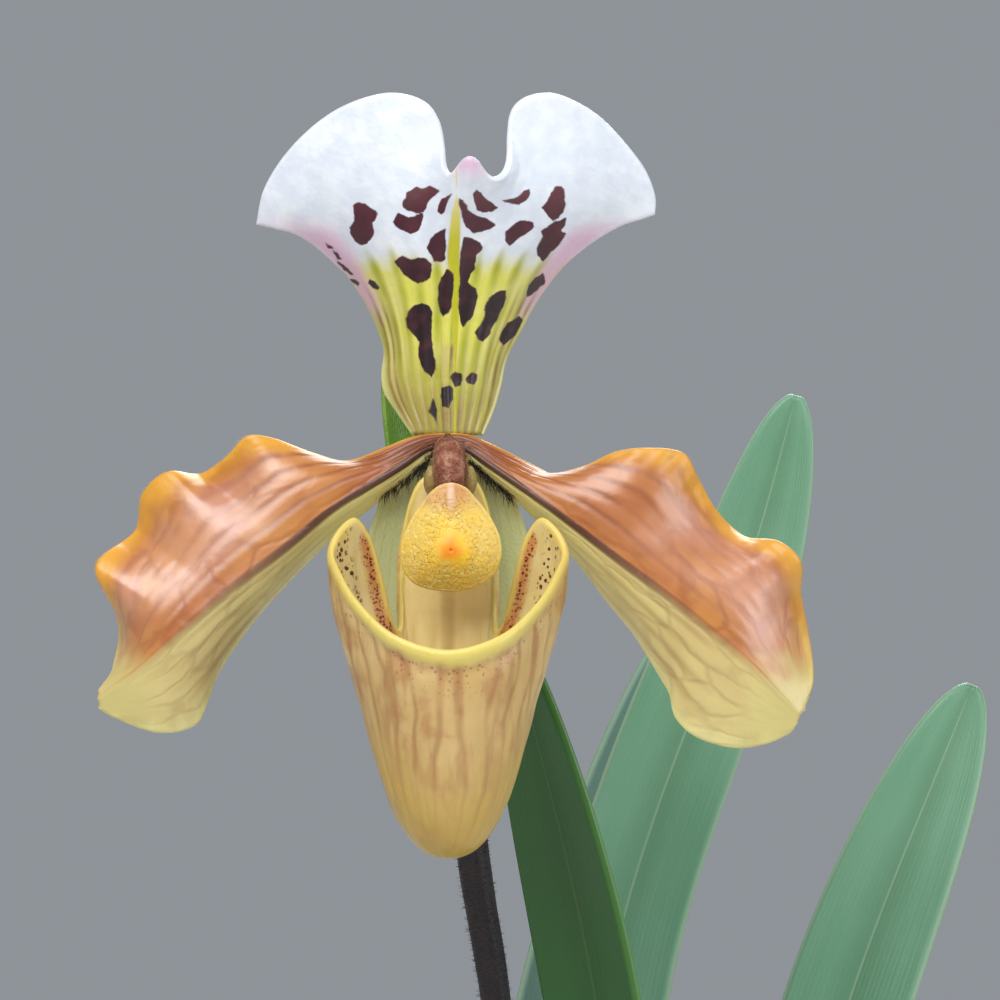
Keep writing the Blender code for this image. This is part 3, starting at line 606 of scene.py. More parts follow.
def petal_look():
    """Rust above the midrib and cream below, with painted sheen on the upper lobe. The attribute
    place holds (share across, from 1 at the upper edge to -1 at the lower, share along, a
    random streak)."""
    material, n, shader = new_material("petal", 0.36, 0.9, 0.12, 0.8)
    shader.inputs["Coat Roughness"].default_value = 0.3
    shader.inputs["Coat IOR"].default_value = 1.65
    across, along, streak = n.marks("place")
    side = n.mark("side")
    fanned = across * (along * 3.6 + 4.6)
    vein = n.group(VEINS, Across=fanned, Width=0.3, Wobble=0.45, Scale=110.0)["Mask"]
    upper = n.step(across, 0.02, 0.2)
    worn = n.fall(along, 0.66, 0.86)
    vein = vein * worn * upper
    spread = n.join(across * (along * 2.6 + 2.4), along * 7.0)
    net = n.group(NET, Vector=spread, Width=0.16, Wobble=0.9, Scale=190.0)["Mask"]
    net = net * n.fall(along, 0.8, 0.94)
    far = n.step(along, 0.18, 0.62)
    rust = n.mix(n.step(n.noise(110.0, 3.0), 0.3, 0.7), (0.46, 0.145, 0.032), (0.56, 0.22, 0.045))
    rust = n.mix(n.fall(along, 0.05, 0.35), rust, (0.33, 0.085, 0.014))
    rust = n.mix(vein * (0.8 - far * 0.5), rust, (0.215, 0.042, 0.009))
    rust = n.mix(net * far * 0.55, rust, (0.33, 0.085, 0.015))
    margin = n.step(across + streak * 0.05, 0.76, 0.97)
    rust = n.mix(margin * 0.9, rust, (0.76, 0.37, 0.04))
    cream = n.mix(n.step(n.noise(110.0, 3.0), 0.3, 0.75), (0.78, 0.66, 0.27), (0.68, 0.53, 0.21))
    cream = n.mix(n.fall(along, 0.2, 0.6), cream, (0.92, 0.86, 0.36))
    strands = across * (along * 2.0 + 3.4)
    strand = n.group(VEINS, Across=strands, Width=0.4, Wobble=0.35, Scale=90.0)["Mask"]
    cream = n.mix(strand * worn * (far * 0.42 + 0.06), cream, (0.36, 0.19, 0.06))
    cream = n.mix(net * far * 0.2, cream, (0.26, 0.14, 0.045))
    cream = n.mix(n.step(across, -0.78, -0.97), cream, (0.82, 0.74, 0.32))
    # Painted sheen: a pinkish patch over the middle of the upper lobe, where the light is
    # reflected.
    lobe = n.step(across, 0.16, 0.42) * n.step(across, 0.9, 0.68)
    lobe = lobe * n.step(along, 0.24, 0.48) * n.step(along, 0.92, 0.7)
    bloom_and_painted_sheen = lobe * n.step(n.noise(95.0, 3.0), 0.3, 0.62)
    rust = n.mix(bloom_and_painted_sheen * 0.52, rust, (0.78, 0.42, 0.33))
    color = n.mix(n.step(across, -0.02, 0.05), cream, rust)
    pale = n.step(along + streak * 0.03, 0.8, 0.97)
    color = n.mix(pale * 0.85, color, (0.64, 0.56, 0.2))
    dark = n.fall(along, 0.03, 0.2) * n.step(across, -0.3, 0.1) * n.step(across, 0.95, 0.45)
    color = n.mix(dark * 0.65, color, (0.12, 0.03, 0.012))
    rib_width = 0.125 - n.step(along, 0.02, 0.3) * 0.075
    rib = n.fall(abs(across - 0.02), rib_width * 0.3, rib_width)
    rib = rib * (1 - n.step(along, 0.35, 0.95) * 0.8)
    ribbed = n.mix(n.step(along, 0.3, 0.8), (0.06, 0.006, 0.008), (0.15, 0.04, 0.018))
    color = n.mix(rib * 0.93, color, ribbed)
    color = n.mix(side * 0.35, color, (0.5, 0.38, 0.12))
    height = n.noise(1500.0) * 0.3 - vein * 0.6 - net * 0.45
    glossy = n.step(along, 0.14, 0.4) * upper * n.step(across, 0.9, 0.7)
    n.set(shader.inputs["Coat Weight"], glossy * 0.86 + 0.06)
    finish_look(n, shader, color, height, 0.11, n.noise(200.0, 3.0) * 0.22 + 0.26)
    return material


def lip_look():
    """Veined tan with a yellow rim and dotted ears. The attribute place holds (angle round
    the bag in turns, mm below the rim, mm from the rim), tint holds (mm from an ear's inner
    edge, 1 on the ears, 0), and side is 1 on the inner face."""
    material, n, shader = new_material("lip", 0.42, 0.2, 0.25, 1.5)
    turn, below, edge = n.marks("place")
    inner, ear, _ = n.marks("tint")
    side = n.mark("side")
    tan = n.mix(n.step(n.noise(80.0, 3.0), 0.3, 0.7), (0.56, 0.37, 0.13), (0.66, 0.47, 0.205))
    tan = n.mix(n.step(below, 12.0, 24.0), tan, (0.53, 0.35, 0.075))
    faded = 1 - n.step(below, 12.0, 23.0) * 0.75
    vein = n.group(VEINS, Across=turn * 34.0, Width=0.22, Wobble=1.8, Scale=75.0)["Mask"]
    tan = n.mix(vein * faded * 0.52, tan, (0.3, 0.11, 0.03))
    streaks = n.step(n.noise(480.0, 4.0, n.stretched(1, 1, 0.2)), 0.48, 0.66)
    tan = n.mix(streaks * faded * 0.45, tan, (0.34, 0.135, 0.038))
    mottle = n.step(n.noise(330.0, 4.0), 0.5, 0.7)
    tan = n.mix(mottle * faded * 0.45, tan, (0.42, 0.165, 0.06))
    high = n.fall(below, 2.0, 8.0)
    flecks = n.group(SPECKLES, Scale=1900.0, Size=0.4, Share=0.45)["Mask"]
    tan = n.mix(flecks * high * 0.6, tan, (0.26, 0.075, 0.03))
    wavy = edge + n.wander(1.4, 330.0, 3.0)
    rim = n.fall(turn * 4.0 + wavy, 1.1, 2.5)
    rim_color = n.mix(n.step(turn, 0.03, 0.2), (0.76, 0.62, 0.155), (0.64, 0.47, 0.12))
    outside = n.mix(rim, tan, rim_color)
    inside = n.mix(n.step(n.noise(150.0, 3.0), 0.3, 0.75), (0.88, 0.74, 0.34), (0.82, 0.63, 0.27))
    # Painted shade: a dark line down the middle of the inner back wall stands for the shade in its
    # crease.
    middle = n.fall(0.5 - turn, 0.002, 0.01)
    inside = n.mix(middle * 0.5, inside, (0.46, 0.28, 0.08))
    ear_color = n.mix(n.step(n.noise(240.0, 3.0), 0.35, 0.7), (0.7, 0.54, 0.2), (0.68, 0.56, 0.27))
    inside = n.mix(ear, inside, ear_color)
    dots = n.group(SPECKLES, Scale=1500.0, Size=0.52, Share=0.85)["Mask"]
    dotted = ear * n.step(inner, 3.0, 4.2) * n.step(n.noise(300.0), 0.36, 0.5)
    inside = n.mix(dots * dotted, inside, (0.085, 0.012, 0.006))
    band = ear * n.fall(inner, 1.5, 2.5) * n.step(inner, 0.15, 0.4)
    inside = n.mix(band * 0.85, inside, (0.56, 0.2, 0.05))
    fine = n.group(SPECKLES, Scale=2500.0, Size=0.52, Share=0.95)["Mask"]
    inside = n.mix(fine * band, inside, (0.13, 0.016, 0.008))
    inside = n.mix(n.fall(edge, 0.4, 1.0), inside, (0.76, 0.58, 0.15))
    color = n.mix(side, outside, inside)
    height = n.noise(1100.0, 3.0) * 0.6 - vein * 0.3 - streaks * 0.25
    finish_look(n, shader, color, height, 0.12, n.noise(240.0) * 0.2 + 0.3)
    return material


def staminode_look():
    """Yellow with painted glints on its grains, painted shade between them and an orange heart.
    The attribute place holds (share out from the middle, mm right of the middle, mm above
    the middle)."""
    material, n, shader = new_material("staminode", 0.5, 0.12, 0.25, 1.0)
    out, right, up = n.marks("place")
    wavy = out + n.wander(0.22, 500.0, 3.0)
    color = n.mix(n.step(wavy, 0.16, 0.62), (0.98, 0.58, 0.008), (0.84, 0.56, 0.085))
    patch = n.step(n.noise(420.0, 3.0), 0.38, 0.66)
    color = n.mix(patch * 0.5, color, (0.76, 0.58, 0.17))
    grains = n.cells(5600.0, "SMOOTH_F1")["Distance"]
    # Painted glints: light sparkling on the grains is painted into the colour.
    sparkle = n.fall(grains, 0.1, 0.42)
    glints = n.step(n.noise(900.0, 3.0), 0.5, 0.62)
    painted_glints = sparkle * glints * n.step(wavy, 0.35, 0.7)
    color = n.mix(painted_glints * 0.85, color, (0.95, 0.84, 0.5))
    # Painted shade: the gaps between the grains are darkened.
    shade = n.step(grains, 0.45, 0.75) * n.step(wavy, 0.25, 0.5)
    color = n.mix(shade * 0.22, color, (0.46, 0.23, 0.03))
    centre = n.fall(wavy, 0.04, 0.3)
    color = n.mix(centre * 0.9, color, (0.9, 0.25, 0.003))
    top = n.step(up, 1.5, 5.2) - abs(right) * 0.13
    top = n.math("MAXIMUM", top, 0.0)
    stained = n.math("MULTIPLY", top, n.noise(520.0) + 0.25, clamp=True)
    color = n.mix(stained, color, (0.5, 0.19, 0.1))
    line = n.fall(abs(right), 0.1, 0.45)
    color = n.mix(line * n.step(up, 2.6, 5.0) * 0.6, color, (0.8, 0.55, 0.42))
    color = n.mix(n.step(out, 0.95, 0.99) * 0.6, color, (0.86, 0.7, 0.28))
    height = (1 - grains) * n.step(out, 0.12, 0.3)
    finish_look(n, shader, color, height, 0.05)
    return material


def plain_look(
    name, color, tint, roughness=0.5, inner=0.2, amount=0.5, scale=260.0, cells=2500.0, depth=0.06
):
    """Tissue of one colour with a blotchy tint."""
    material, n, shader = new_material(name, roughness, inner=inner)
    made = n.group(TISSUE, Color=color, Tint=tint, Amount=amount, Scale=scale, Cells=cells)
    finish_look(n, shader, made["Color"], made["Height"], depth)
    return material


def synsepal_look():
    """Pale green with faint veins. The attribute place holds (share across, share down)."""
    material, n, shader = new_material("synsepal", 0.45, 0.1, 0.35)
    across, down, _ = n.marks("place")
    made = n.group(
        TISSUE,
        Color=(0.66, 0.72, 0.36),
        Tint=(0.76, 0.8, 0.5),
        Amount=0.7,
        Scale=140.0,
        Cells=2300.0,
    )
    vein = n.group(VEINS, Across=across * 8.0, Width=0.26, Wobble=0.25, Scale=90.0)["Mask"]
    color = n.mix(vein * 0.22, made["Color"], (0.48, 0.56, 0.2))
    color = n.mix(n.step(down, 0.5, 0.95) * 0.5, color, (0.66, 0.68, 0.32))
    finish_look(n, shader, color, vein * 0.4 + made["Height"], 0.07)
    return material


# The flower

SPOTS = [
    # outlines seen from the front, x and z in mm from the flower's centre
    [(-11.8, 29.0), (-11.0, 29.5), (-10.1, 29.2), (-9.2, 28.5), (-8.6, 28.0), (-8.9, 27.1),
     (-9.2, 26.9), (-9.0, 26.1), (-9.2, 25.1), (-9.9, 24.4), (-10.6, 24.2), (-11.4, 24.8),
     (-12.0, 25.8), (-12.1, 26.4), (-11.5, 27.2), (-11.6, 28.0)],
    [(-5.5, 29.2), (-5.0, 29.9), (-5.1, 30.6), (-4.5, 30.8), (-3.8, 31.2), (-3.2, 30.9),
     (-2.5, 31.0), (-2.1, 31.4), (-1.2, 31.1), (-0.2, 30.8), (-1.5, 30.1), (-2.1, 29.6),
     (-2.4, 28.9), (-2.9, 28.2), (-3.8, 28.0), (-4.8, 28.2), (-5.5, 28.8)],
    [(-6.8, 26.9), (-6.1, 28.1), (-5.5, 27.9), (-4.8, 27.6), (-4.0, 27.6), (-3.0, 28.0),
     (-2.9, 27.4), (-3.2, 26.5), (-3.6, 25.9), (-4.5, 25.4), (-5.5, 25.9), (-6.4, 26.4)],
    [(0.8, 30.4), (0.2, 29.2), (-0.2, 28.2), (-0.6, 27.9), (-1.2, 28.2), (-1.0, 29.1),
     (-0.5, 29.8), (0.1, 30.2)],
    [(0.0, 26.1), (0.0, 24.6), (-0.1, 22.2), (-0.9, 22.1), (-1.6, 22.1), (-2.1, 23.0),
     (-2.6, 23.8), (-2.2, 24.6), (-1.5, 25.4), (-0.8, 25.9)],
    [(-6.4, 22.1), (-5.5, 22.8), (-4.5, 22.4), (-3.5, 22.5), (-2.6, 22.5), (-2.0, 21.8),
     (-1.8, 20.9), (-2.1, 20.0), (-2.9, 19.4), (-3.6, 19.2), (-4.5, 19.8), (-5.4, 20.4),
     (-6.0, 21.2)],
    [(-5.0, 14.9), (-4.8, 15.9), (-3.9, 16.6), (-3.1, 16.9), (-2.2, 16.5), (-1.8, 15.8),
     (-1.8, 14.4), (-1.9, 13.1), (-1.8, 11.5), (-1.5, 9.6), (-1.5, 8.1), (-2.0, 7.4),
     (-2.5, 7.8), (-3.1, 9.1), (-3.5, 10.5), (-3.4, 11.9), (-4.1, 12.9), (-4.8, 13.8)],
    [(0.2, 21.1), (0.6, 20.5), (0.6, 18.4), (0.4, 16.5), (0.0, 15.5), (-0.5, 15.0), (-1.0, 16.0),
     (-1.2, 17.4), (-1.2, 19.0), (-0.9, 20.0), (-0.2, 20.5)],
    [(1.5, 30.2), (2.0, 29.8), (2.4, 28.6), (3.0, 28.0), (3.8, 27.9), (4.6, 27.5), (5.8, 26.6),
     (5.0, 26.2), (4.1, 25.8), (3.2, 25.6), (2.2, 26.2), (1.8, 27.2), (1.5, 28.8)],
    [(3.0, 30.6), (3.4, 31.0), (4.0, 30.6), (4.5, 29.9), (5.2, 29.4), (6.2, 28.8), (5.2, 28.2),
     (4.2, 28.1), (3.5, 28.5), (3.2, 29.4)],
    [(6.1, 29.8), (7.1, 29.9), (8.4, 30.1), (9.4, 30.9), (10.0, 31.0), (10.1, 30.4), (9.6, 29.6),
     (8.8, 29.1), (7.8, 29.1), (6.9, 29.4)],
    [(6.9, 25.8), (7.5, 26.2), (8.5, 27.0), (9.5, 27.1), (10.4, 26.9), (10.5, 26.4), (9.9, 25.8),
     (9.0, 25.1), (8.1, 24.5), (7.5, 24.1), (7.0, 24.8)],
    [(11.5, 28.8), (12.1, 29.6), (12.6, 30.5), (13.2, 31.2), (14.0, 31.4), (14.4, 30.8),
     (14.4, 29.9), (14.6, 29.1), (14.2, 28.2), (13.6, 27.5), (12.9, 27.2), (12.2, 28.0)],
    [(14.5, 27.5), (14.4, 26.6), (14.0, 26.0), (14.5, 25.6), (14.1, 24.9), (13.4, 24.0),
     (12.5, 23.2), (11.6, 22.2), (11.0, 22.8), (10.8, 23.5), (11.0, 24.6), (11.6, 25.2),
     (11.5, 25.9), (12.2, 26.5), (13.2, 27.1)],
    [(1.9, 25.2), (2.5, 25.1), (3.1, 24.9), (4.0, 24.5), (4.2, 23.8), (3.6, 22.9), (3.4, 22.1),
     (3.4, 21.1), (2.8, 20.5), (2.4, 19.6), (2.8, 19.1), (3.4, 18.8), (3.5, 17.6), (3.2, 16.4),
     (2.9, 15.2), (2.2, 14.4), (1.9, 13.9), (1.5, 14.6), (1.2, 16.4), (1.2, 18.4), (1.5, 19.9),
     (1.2, 21.5), (1.5, 23.4)],
    [(7.1, 18.6), (7.0, 17.6), (6.6, 16.4), (6.0, 15.2), (5.6, 14.1), (5.0, 12.9), (4.1, 11.9),
     (3.5, 12.2), (3.2, 13.2), (3.8, 14.0), (4.2, 15.0), (4.4, 16.2), (4.9, 17.5), (5.9, 18.2),
     (6.6, 18.5)],
    [(11.6, 20.8), (11.8, 19.6), (11.1, 18.8), (10.2, 18.0), (9.5, 17.8), (9.4, 18.5),
     (9.9, 19.4), (10.6, 20.2)],
    [(9.1, 14.8), (8.6, 13.8), (8.1, 12.9), (7.2, 12.1), (6.5, 11.6), (6.2, 12.4), (6.5, 13.4),
     (7.1, 14.4), (7.9, 15.0), (8.6, 15.2)],
    [(0.9, 8.2), (1.5, 7.9), (1.6, 7.1), (1.5, 6.4), (1.0, 6.2), (0.4, 6.8), (0.1, 7.5),
     (0.4, 8.0)],
    [(2.8, 8.1), (3.4, 7.9), (3.5, 7.2), (3.0, 6.6), (2.4, 6.6), (2.1, 7.2)],
    [(0.0, 6.6), (0.5, 6.1), (0.5, 5.0), (0.2, 4.0), (-0.1, 3.5), (-0.6, 4.1), (-0.9, 5.1),
     (-0.9, 6.0)],
    [(-1.9, 4.8), (-1.5, 4.5), (-1.2, 3.5), (-1.2, 2.5), (-1.5, 1.5), (-1.9, 2.5), (-2.2, 3.2),
     (-2.1, 4.2)],
    [(-14.1, 23.5), (-13.5, 23.2), (-13.0, 22.5), (-13.5, 22.5)],
    [(-13.5, 22.2), (-12.8, 21.9), (-12.0, 21.2), (-11.4, 20.6), (-11.9, 20.5), (-12.8, 21.1)],
    [(-12.2, 20.1), (-11.4, 20.0), (-10.8, 19.5), (-10.8, 19.1), (-11.5, 19.5)],
    [(-9.5, 20.0), (-8.8, 19.6), (-8.2, 18.9), (-8.4, 18.5), (-9.0, 18.9), (-9.6, 19.5)],
    [(-15.2, 24.6), (-14.6, 24.2), (-14.2, 23.9), (-14.8, 23.9)],
]
DORSAL_LEFT = [
    (-4.5, 0.8, 0.3), (-6.2, 3.0, 3.0), (-8.0, 4.2, 5.8), (-8.2, 5.2, 7.9), (-7.8, 7.0, 11.0),
    (-8.8, 8.0, 14.1), (-10.6, 8.5, 17.6), (-12.3, 8.4, 20.1), (-14.4, 8.0, 22.1),
    (-16.5, 7.5, 23.9), (-19.0, 7.0, 25.4), (-21.4, 6.4, 26.0), (-23.9, 6.0, 26.6),
]
DORSAL_RIGHT = [
    (4.4, 0.8, 0.3), (5.6, 2.8, 3.2), (6.6, 4.6, 6.8), (6.9, 6.0, 8.9), (7.6, 7.2, 11.0),
    (9.1, 8.0, 13.6), (10.5, 8.5, 16.3), (12.3, 8.4, 19.0), (14.4, 8.0, 21.5), (16.8, 7.5, 23.6),
    (19.6, 7.0, 25.4), (22.0, 6.5, 26.6), (24.1, 6.2, 27.2), (25.8, 6.0, 27.8),
]
DORSAL_TOP = [
    (-23.9, 6.0, 26.6), (-22.9, 5.2, 31.0), (-19.4, 4.4, 36.3), (-13.8, 3.6, 40.9),
    (-7.8, 2.6, 42.9), (-4.6, 2.2, 42.6), (-2.4, 1.8, 41.5), (-1.2, 1.4, 39.8),
    (-0.6, 0.8, 37.9), (-0.4, -0.2, 35.8), (-0.35, -1.2, 34.2), (0.1, -2.4, 33.0),
    (0.6, -3.2, 33.1), (1.4, -4.0, 34.1), (2.0, -4.6, 34.8), (2.8, -4.9, 35.1),
    (3.6, -4.5, 34.7), (4.3, -3.9, 33.8), (5.1, -3.2, 32.8), (6.1, -2.8, 32.4),
    (7.0, -2.1, 33.0), (7.5, -1.2, 34.3), (7.55, -0.5, 35.9), (7.45, 0.3, 37.8),
    (7.6, 1.0, 39.8), (8.2, 1.6, 41.3), (9.6, 2.0, 42.4), (11.4, 2.3, 42.9), (13.6, 2.6, 42.8),
    (18.5, 3.4, 40.3), (23.1, 4.6, 35.5), (24.9, 5.2, 32.8), (25.9, 5.8, 29.8),
    (25.8, 6.0, 27.8),
]
DORSAL_MID_DEPTH = [0.0, 1.0, 1.0, 0.2, -1.2, -3.2]


def spot_distance(x, z):
    """How far a point lies outside the nearest spot, in mm: the distance to the nearest side
    of the spots' outlines, counted below 0 where a level ray crosses an odd number of them."""
    nearest = np.full(x.shape, 9.0)
    here = np.stack([x, z], axis=-1)
    for outline in SPOTS:
        corners = np.array(outline)
        inside, best = np.zeros(x.shape, bool), np.full(x.shape, 9.0)
        for a, b in zip(corners, np.roll(corners, -1, axis=0)):
            t = np.clip((here - a) @ (b - a) / ((b - a) @ (b - a)), 0, 1)
            best = np.minimum(best, np.linalg.norm(here - a - t[..., None] * (b - a), axis=-1))
            if a[1] != b[1]:
                crossing = a[0] + (z - a[1]) / (b[1] - a[1]) * (b[0] - a[0])
                inside ^= ((a[1] > z) != (b[1] > z)) & (x < crossing)
        nearest = np.minimum(nearest, np.where(inside, -best, best))
    return nearest


def make_dorsal(material):
    """The patch P(u, v) = (1-v) base + v top + (1-u) left + u right - corners, evened out so
    that it doesn't fold at the notch, with its depth rolled back at the sides by |2u-1|^2.4
    and low ribs over the veins."""
    coarse_v, coarse_u = np.linspace(0, 1, 56), np.linspace(0, 1, 110)
    v, u = coarse_v[:, None, None], coarse_u[None, :, None]
    left = read_curve(DORSAL_LEFT, coarse_v)[:, None, :]
    right = read_curve(DORSAL_RIGHT, coarse_v)[:, None, :]
    top = read_curve(DORSAL_TOP, coarse_u)[None, :, :]
    base = (left[0] * (1 - u[0]) + right[0] * u[0])[None, :, :]
    corners = (
        (1 - u) * (1 - v) * base[:, :1] + u * (1 - v) * base[:, -1:]
        + (1 - u) * v * top[:, :1] + u * v * top[:, -1:]
    )
    grid = (1 - v) * base + v * top + (1 - u) * left + u * right - corners
    grid[:, :, ::2] = even_out(grid[:, :, ::2])
    v_shares, u_shares = fine_edges(170, 0.006), fine_edges(260, 0.004)
    grid = between(grid, v_shares, u_shares)
    v, u = v_shares[:, None, None], u_shares[None, :, None]
    left = read_curve(DORSAL_LEFT, v_shares)[:, None, :]
    right = read_curve(DORSAL_RIGHT, v_shares)[:, None, :]
    top = read_curve(DORSAL_TOP, u_shares)[None, :, :]
    depth_shares = np.linspace(0, 1, len(DORSAL_MID_DEPTH))
    middle = np.interp(v_shares, depth_shares, DORSAL_MID_DEPTH)[:, None]
    off = np.abs(2 * u_shares - 1)[None, :]
    side = np.where(u_shares[None, :] < 0.5, left[:, :, 1], right[:, :, 1])
    rolled = middle + (side - middle) * off**2.4
    share = v[:, :, 0] ** 5
    grid[:, :, 1] = rolled * (1 - share) + top[:, :, 1] * share
    across, up = u[:, :, 0] + 0 * v[:, :, 0], v[:, :, 0] + 0 * u[:, :, 0]
    grid[:, :, 1] += 0.07 * np.cos(across * 21 * math.pi) * (1 - smooth_step(up, 0.5, 0.8))
    grid[:, :, 1] -= 0.30 * hill(across, 0.49, 0.018) * (1 - smooth_step(up, 0.8, 0.95))
    x, z = grid[:, :, 0], grid[:, :, 2]
    spots = spot_distance(x, z)
    spine_x = np.interp(z, (8, 23, 30), (0.9, 0.75, 1.3))
    spine_half = np.interp(z, (6, 13, 23, 28, 30.4), (0.15, 0.35, 0.62, 0.45, 0.05))
    spine = 1 - smooth_step(np.abs(x - spine_x) / spine_half, 0.75, 1.2)
    out = off + 0 * x
    rosy = smooth_step(out, 0.76, 0.90) * (1 - 0.5 * smooth_step(out, 0.95, 1.0))
    rosy = rosy * smooth_step(z, 13.0, 18.0) * (1 - smooth_step(z, 24.5, 28.5))
    rosy = np.maximum(rosy, hill(x, 2.8, 1.9) * hill(z, 34.2, 1.4))
    brown = smooth_step(out, 0.50, 0.90) * (1 - 0.8 * hill(out, 1.0, 0.07))
    brown = brown * smooth_step(21.0 - z, 0, 6)
    brown = np.maximum(brown, smooth_step(8.0 - z, 0, 6) * 0.8)
    fold = hill(x, 0.3, 0.5) * smooth_step(z, 8, 9) * (1 - smooth_step(z, 11, 12))
    tint = np.clip(marks_of(spine, rosy, np.maximum(brown, fold)), 0, 1)
    marks = marks_of(across, z, spots)
    obj = sheet("dorsal_sepal", place(grid), 0.9, 0.5, place=marks, tint=tint)
    return use(obj, material, "dorsal_sepal", "dorsal_sepal")


LEFT_PETAL = {
    "upper": [
        (-0.05, -0.2, 0.6), (-2.6, -0.4, 0.4), (-4.9, -0.6, -0.1), (-7.8, -0.5, -1.3),
        (-13.0, 0.8, -3.3), (-17.3, 0.0, -2.1), (-22.6, -2.2, 0.0), (-25.1, -2.6, 0.2),
        (-27.6, -1.2, -2.3), (-31.1, 1.4, -4.7), (-35.4, -1.4, -4.4), (-38.1, -0.8, -6.9),
        (-38.9, 2.0, -11.5), (-44.1, -4.0, -16.1), (-41.3, -1.0, -21.8), (-40.9, 0.4, -24.6),
        (-42.1, -3.0, -29.3), (-43.8, -5.2, -32.0),
    ],
    "midrib": [
        (-0.05, -0.5, -0.7), (-2.6, -1.1, -1.5), (-5.9, -2.2, -3.7), (-10.1, -3.5, -6.3),
        (-14.4, -4.8, -9.1), (-20.2, -6.2, -14.0), (-27.4, -7.2, -19.5), (-33.1, -7.4, -24.4),
        (-38.9, -6.8, -29.5), (-43.9, -5.8, -32.9),
    ],
    "lower": [
        (-0.05, -0.3, -2.2), (-2.6, -0.4, -2.8), (-5.9, -0.5, -5.8), (-8.8, 0.0, -7.8),
        (-14.1, 0.4, -12.0), (-19.4, 0.0, -17.1), (-25.0, 0.0, -23.5), (-29.1, -1.0, -29.8),
        (-30.3, -1.8, -33.0), (-31.6, -2.6, -35.9), (-36.0, -4.0, -37.0), (-41.8, -5.0, -35.1),
        (-43.9, -5.4, -33.8),
    ],
}
RIGHT_PETAL = {
    "upper": [
        (0.05, -0.2, 0.6), (2.6, -0.4, 0.3), (6.0, -0.6, -1.2), (11.3, 0.5, -4.1),
        (12.9, 0.8, -4.9), (17.4, -0.5, -3.8), (21.4, -2.4, -1.8), (25.9, -3.4, -1.3),
        (29.5, -2.2, -2.0), (31.1, -0.6, -4.9), (33.4, 1.0, -9.1), (37.0, 0.6, -12.5),
        (41.6, -2.5, -13.1), (44.0, -3.0, -15.3), (44.0, -0.2, -19.5), (44.9, 0.4, -24.1),
        (45.7, -2.0, -29.4), (45.4, -3.6, -32.0), (44.4, -5.0, -34.4),
    ],
    "midrib": [
        (0.05, -0.5, -0.7), (2.4, -1.1, -1.5), (5.0, -2.0, -3.3), (9.6, -3.4, -6.5),
        (13.5, -4.6, -9.4), (21.4, -6.2, -15.6), (29.2, -7.2, -21.5), (37.4, -7.2, -28.4),
        (41.6, -6.4, -32.6), (44.0, -5.6, -35.0),
    ],
    "lower": [
        (0.05, -0.3, -2.2), (2.5, -0.4, -2.8), (5.6, -0.5, -5.1), (10.5, 0.2, -9.4),
        (15.5, 0.4, -14.4), (20.0, 0.0, -20.3), (23.6, 0.0, -24.8), (26.5, -0.8, -29.6),
        (28.0, -1.4, -32.3), (28.6, -2.2, -35.1), (31.1, -3.0, -37.5), (37.0, -4.0, -38.9),
        (42.4, -5.0, -37.3), (43.9, -5.4, -35.7),
    ],
}
PETAL_SWELL = 1.6


def petal_points(edges, along, across):
    """Points of a petal. Between the midrib M and an edge E, whose smooth run is R, a point
    is M + (R - M) |s| + (E - R) |s|^2.6, so that the waves stay near the edge. It is drawn
    towards the viewer by 4 k |s| (1 - |s|) swell sin(pi t), with s the share across, t the
    share along, and k 1 above the midrib and 3/4 below it."""
    midrib = read_curve(edges["midrib"], along)[:, None, :]
    s = across[None, :, None]
    even = np.linspace(0, 1, 401)
    reach = 0.02 + 0.11 * np.sin(np.pi * even[:, None])
    spread = np.exp(-(((even[:, None] - even[None]) / reach) ** 2))
    spread /= spread.sum(axis=1, keepdims=True)
    sides = []
    for edge in ("upper", "lower"):
        run = spread @ read_curve(edges[edge], even)
        run = np.stack([np.interp(along, even, run[:, k]) for k in range(3)], axis=-1)[:, None, :]
        wavy = read_curve(edges[edge], along)[:, None, :]
        sides.append((run - midrib) * np.abs(s) + (wavy - run) * np.abs(s) ** 2.6)
    grid = midrib + np.where(s > 0, sides[0], sides[1])
    swell = PETAL_SWELL * np.sin(np.pi * np.clip(along * 1.05, 0, 1))[:, None]
    size = np.abs(across)[None, :]
    grid[:, :, 1] -= swell * np.where(across > 0, 4.0, 3.0)[None, :] * size * (1 - size)
    return grid


def make_petal(name, edges, material, seed):
    """A petal with low folds that run in from the waves of its upper edge, a midrib raised
    by 0.15 exp(-(s/0.035)^2), and a thin crimped edge."""
    along = fine_edges(240, 0.006)
    across = fine_edges(110, 0.008)[::-1] * 2 - 1
    grid = petal_points(edges, along, across)
    t, s = along[:, None], across[None, :]
    fold = soft_noise(t * 16 + seed + 0 * s, s * 1.6 + 3 + 0 * t, seed)
    fold = fold * smooth_step(s, 0.4, 1.0) ** 1.3
    crimp = soft_noise(t * 46 + seed + 0 * s, s * 1.2 + 0 * t, seed + 5)
    crimp = crimp * smooth_step(np.abs(s), 0.72, 1.0)
    calm = smooth_step(t, 0.10, 0.28)
    grid[:, :, 1] += calm * (0.40 * fold + 0.28 * crimp)
    grid[:, :, 1] -= 0.15 * hill(s, 0.01, 0.035) * (1 - smooth_step(t, 0.8, 1.0))
    ribs = np.cos(2 * np.pi * s * (5.5 + 4.5 * t)) * np.where(s > 0, 1.0, 0.15)
    grid[:, :, 1] += 0.022 * ribs * calm * (1 - smooth_step(t, 0.70, 0.90))
    marks = marks_of(s, t, soft_noise(t * 30 + 0 * s, s * 9 + 0 * t, seed + 9))
    if edges is LEFT_PETAL:
        grid, marks = grid[:, ::-1], marks[:, ::-1]
    obj = sheet(name, place(grid), 0.9, 0.5, place=marks)
    return use(obj, material, "petal", name)


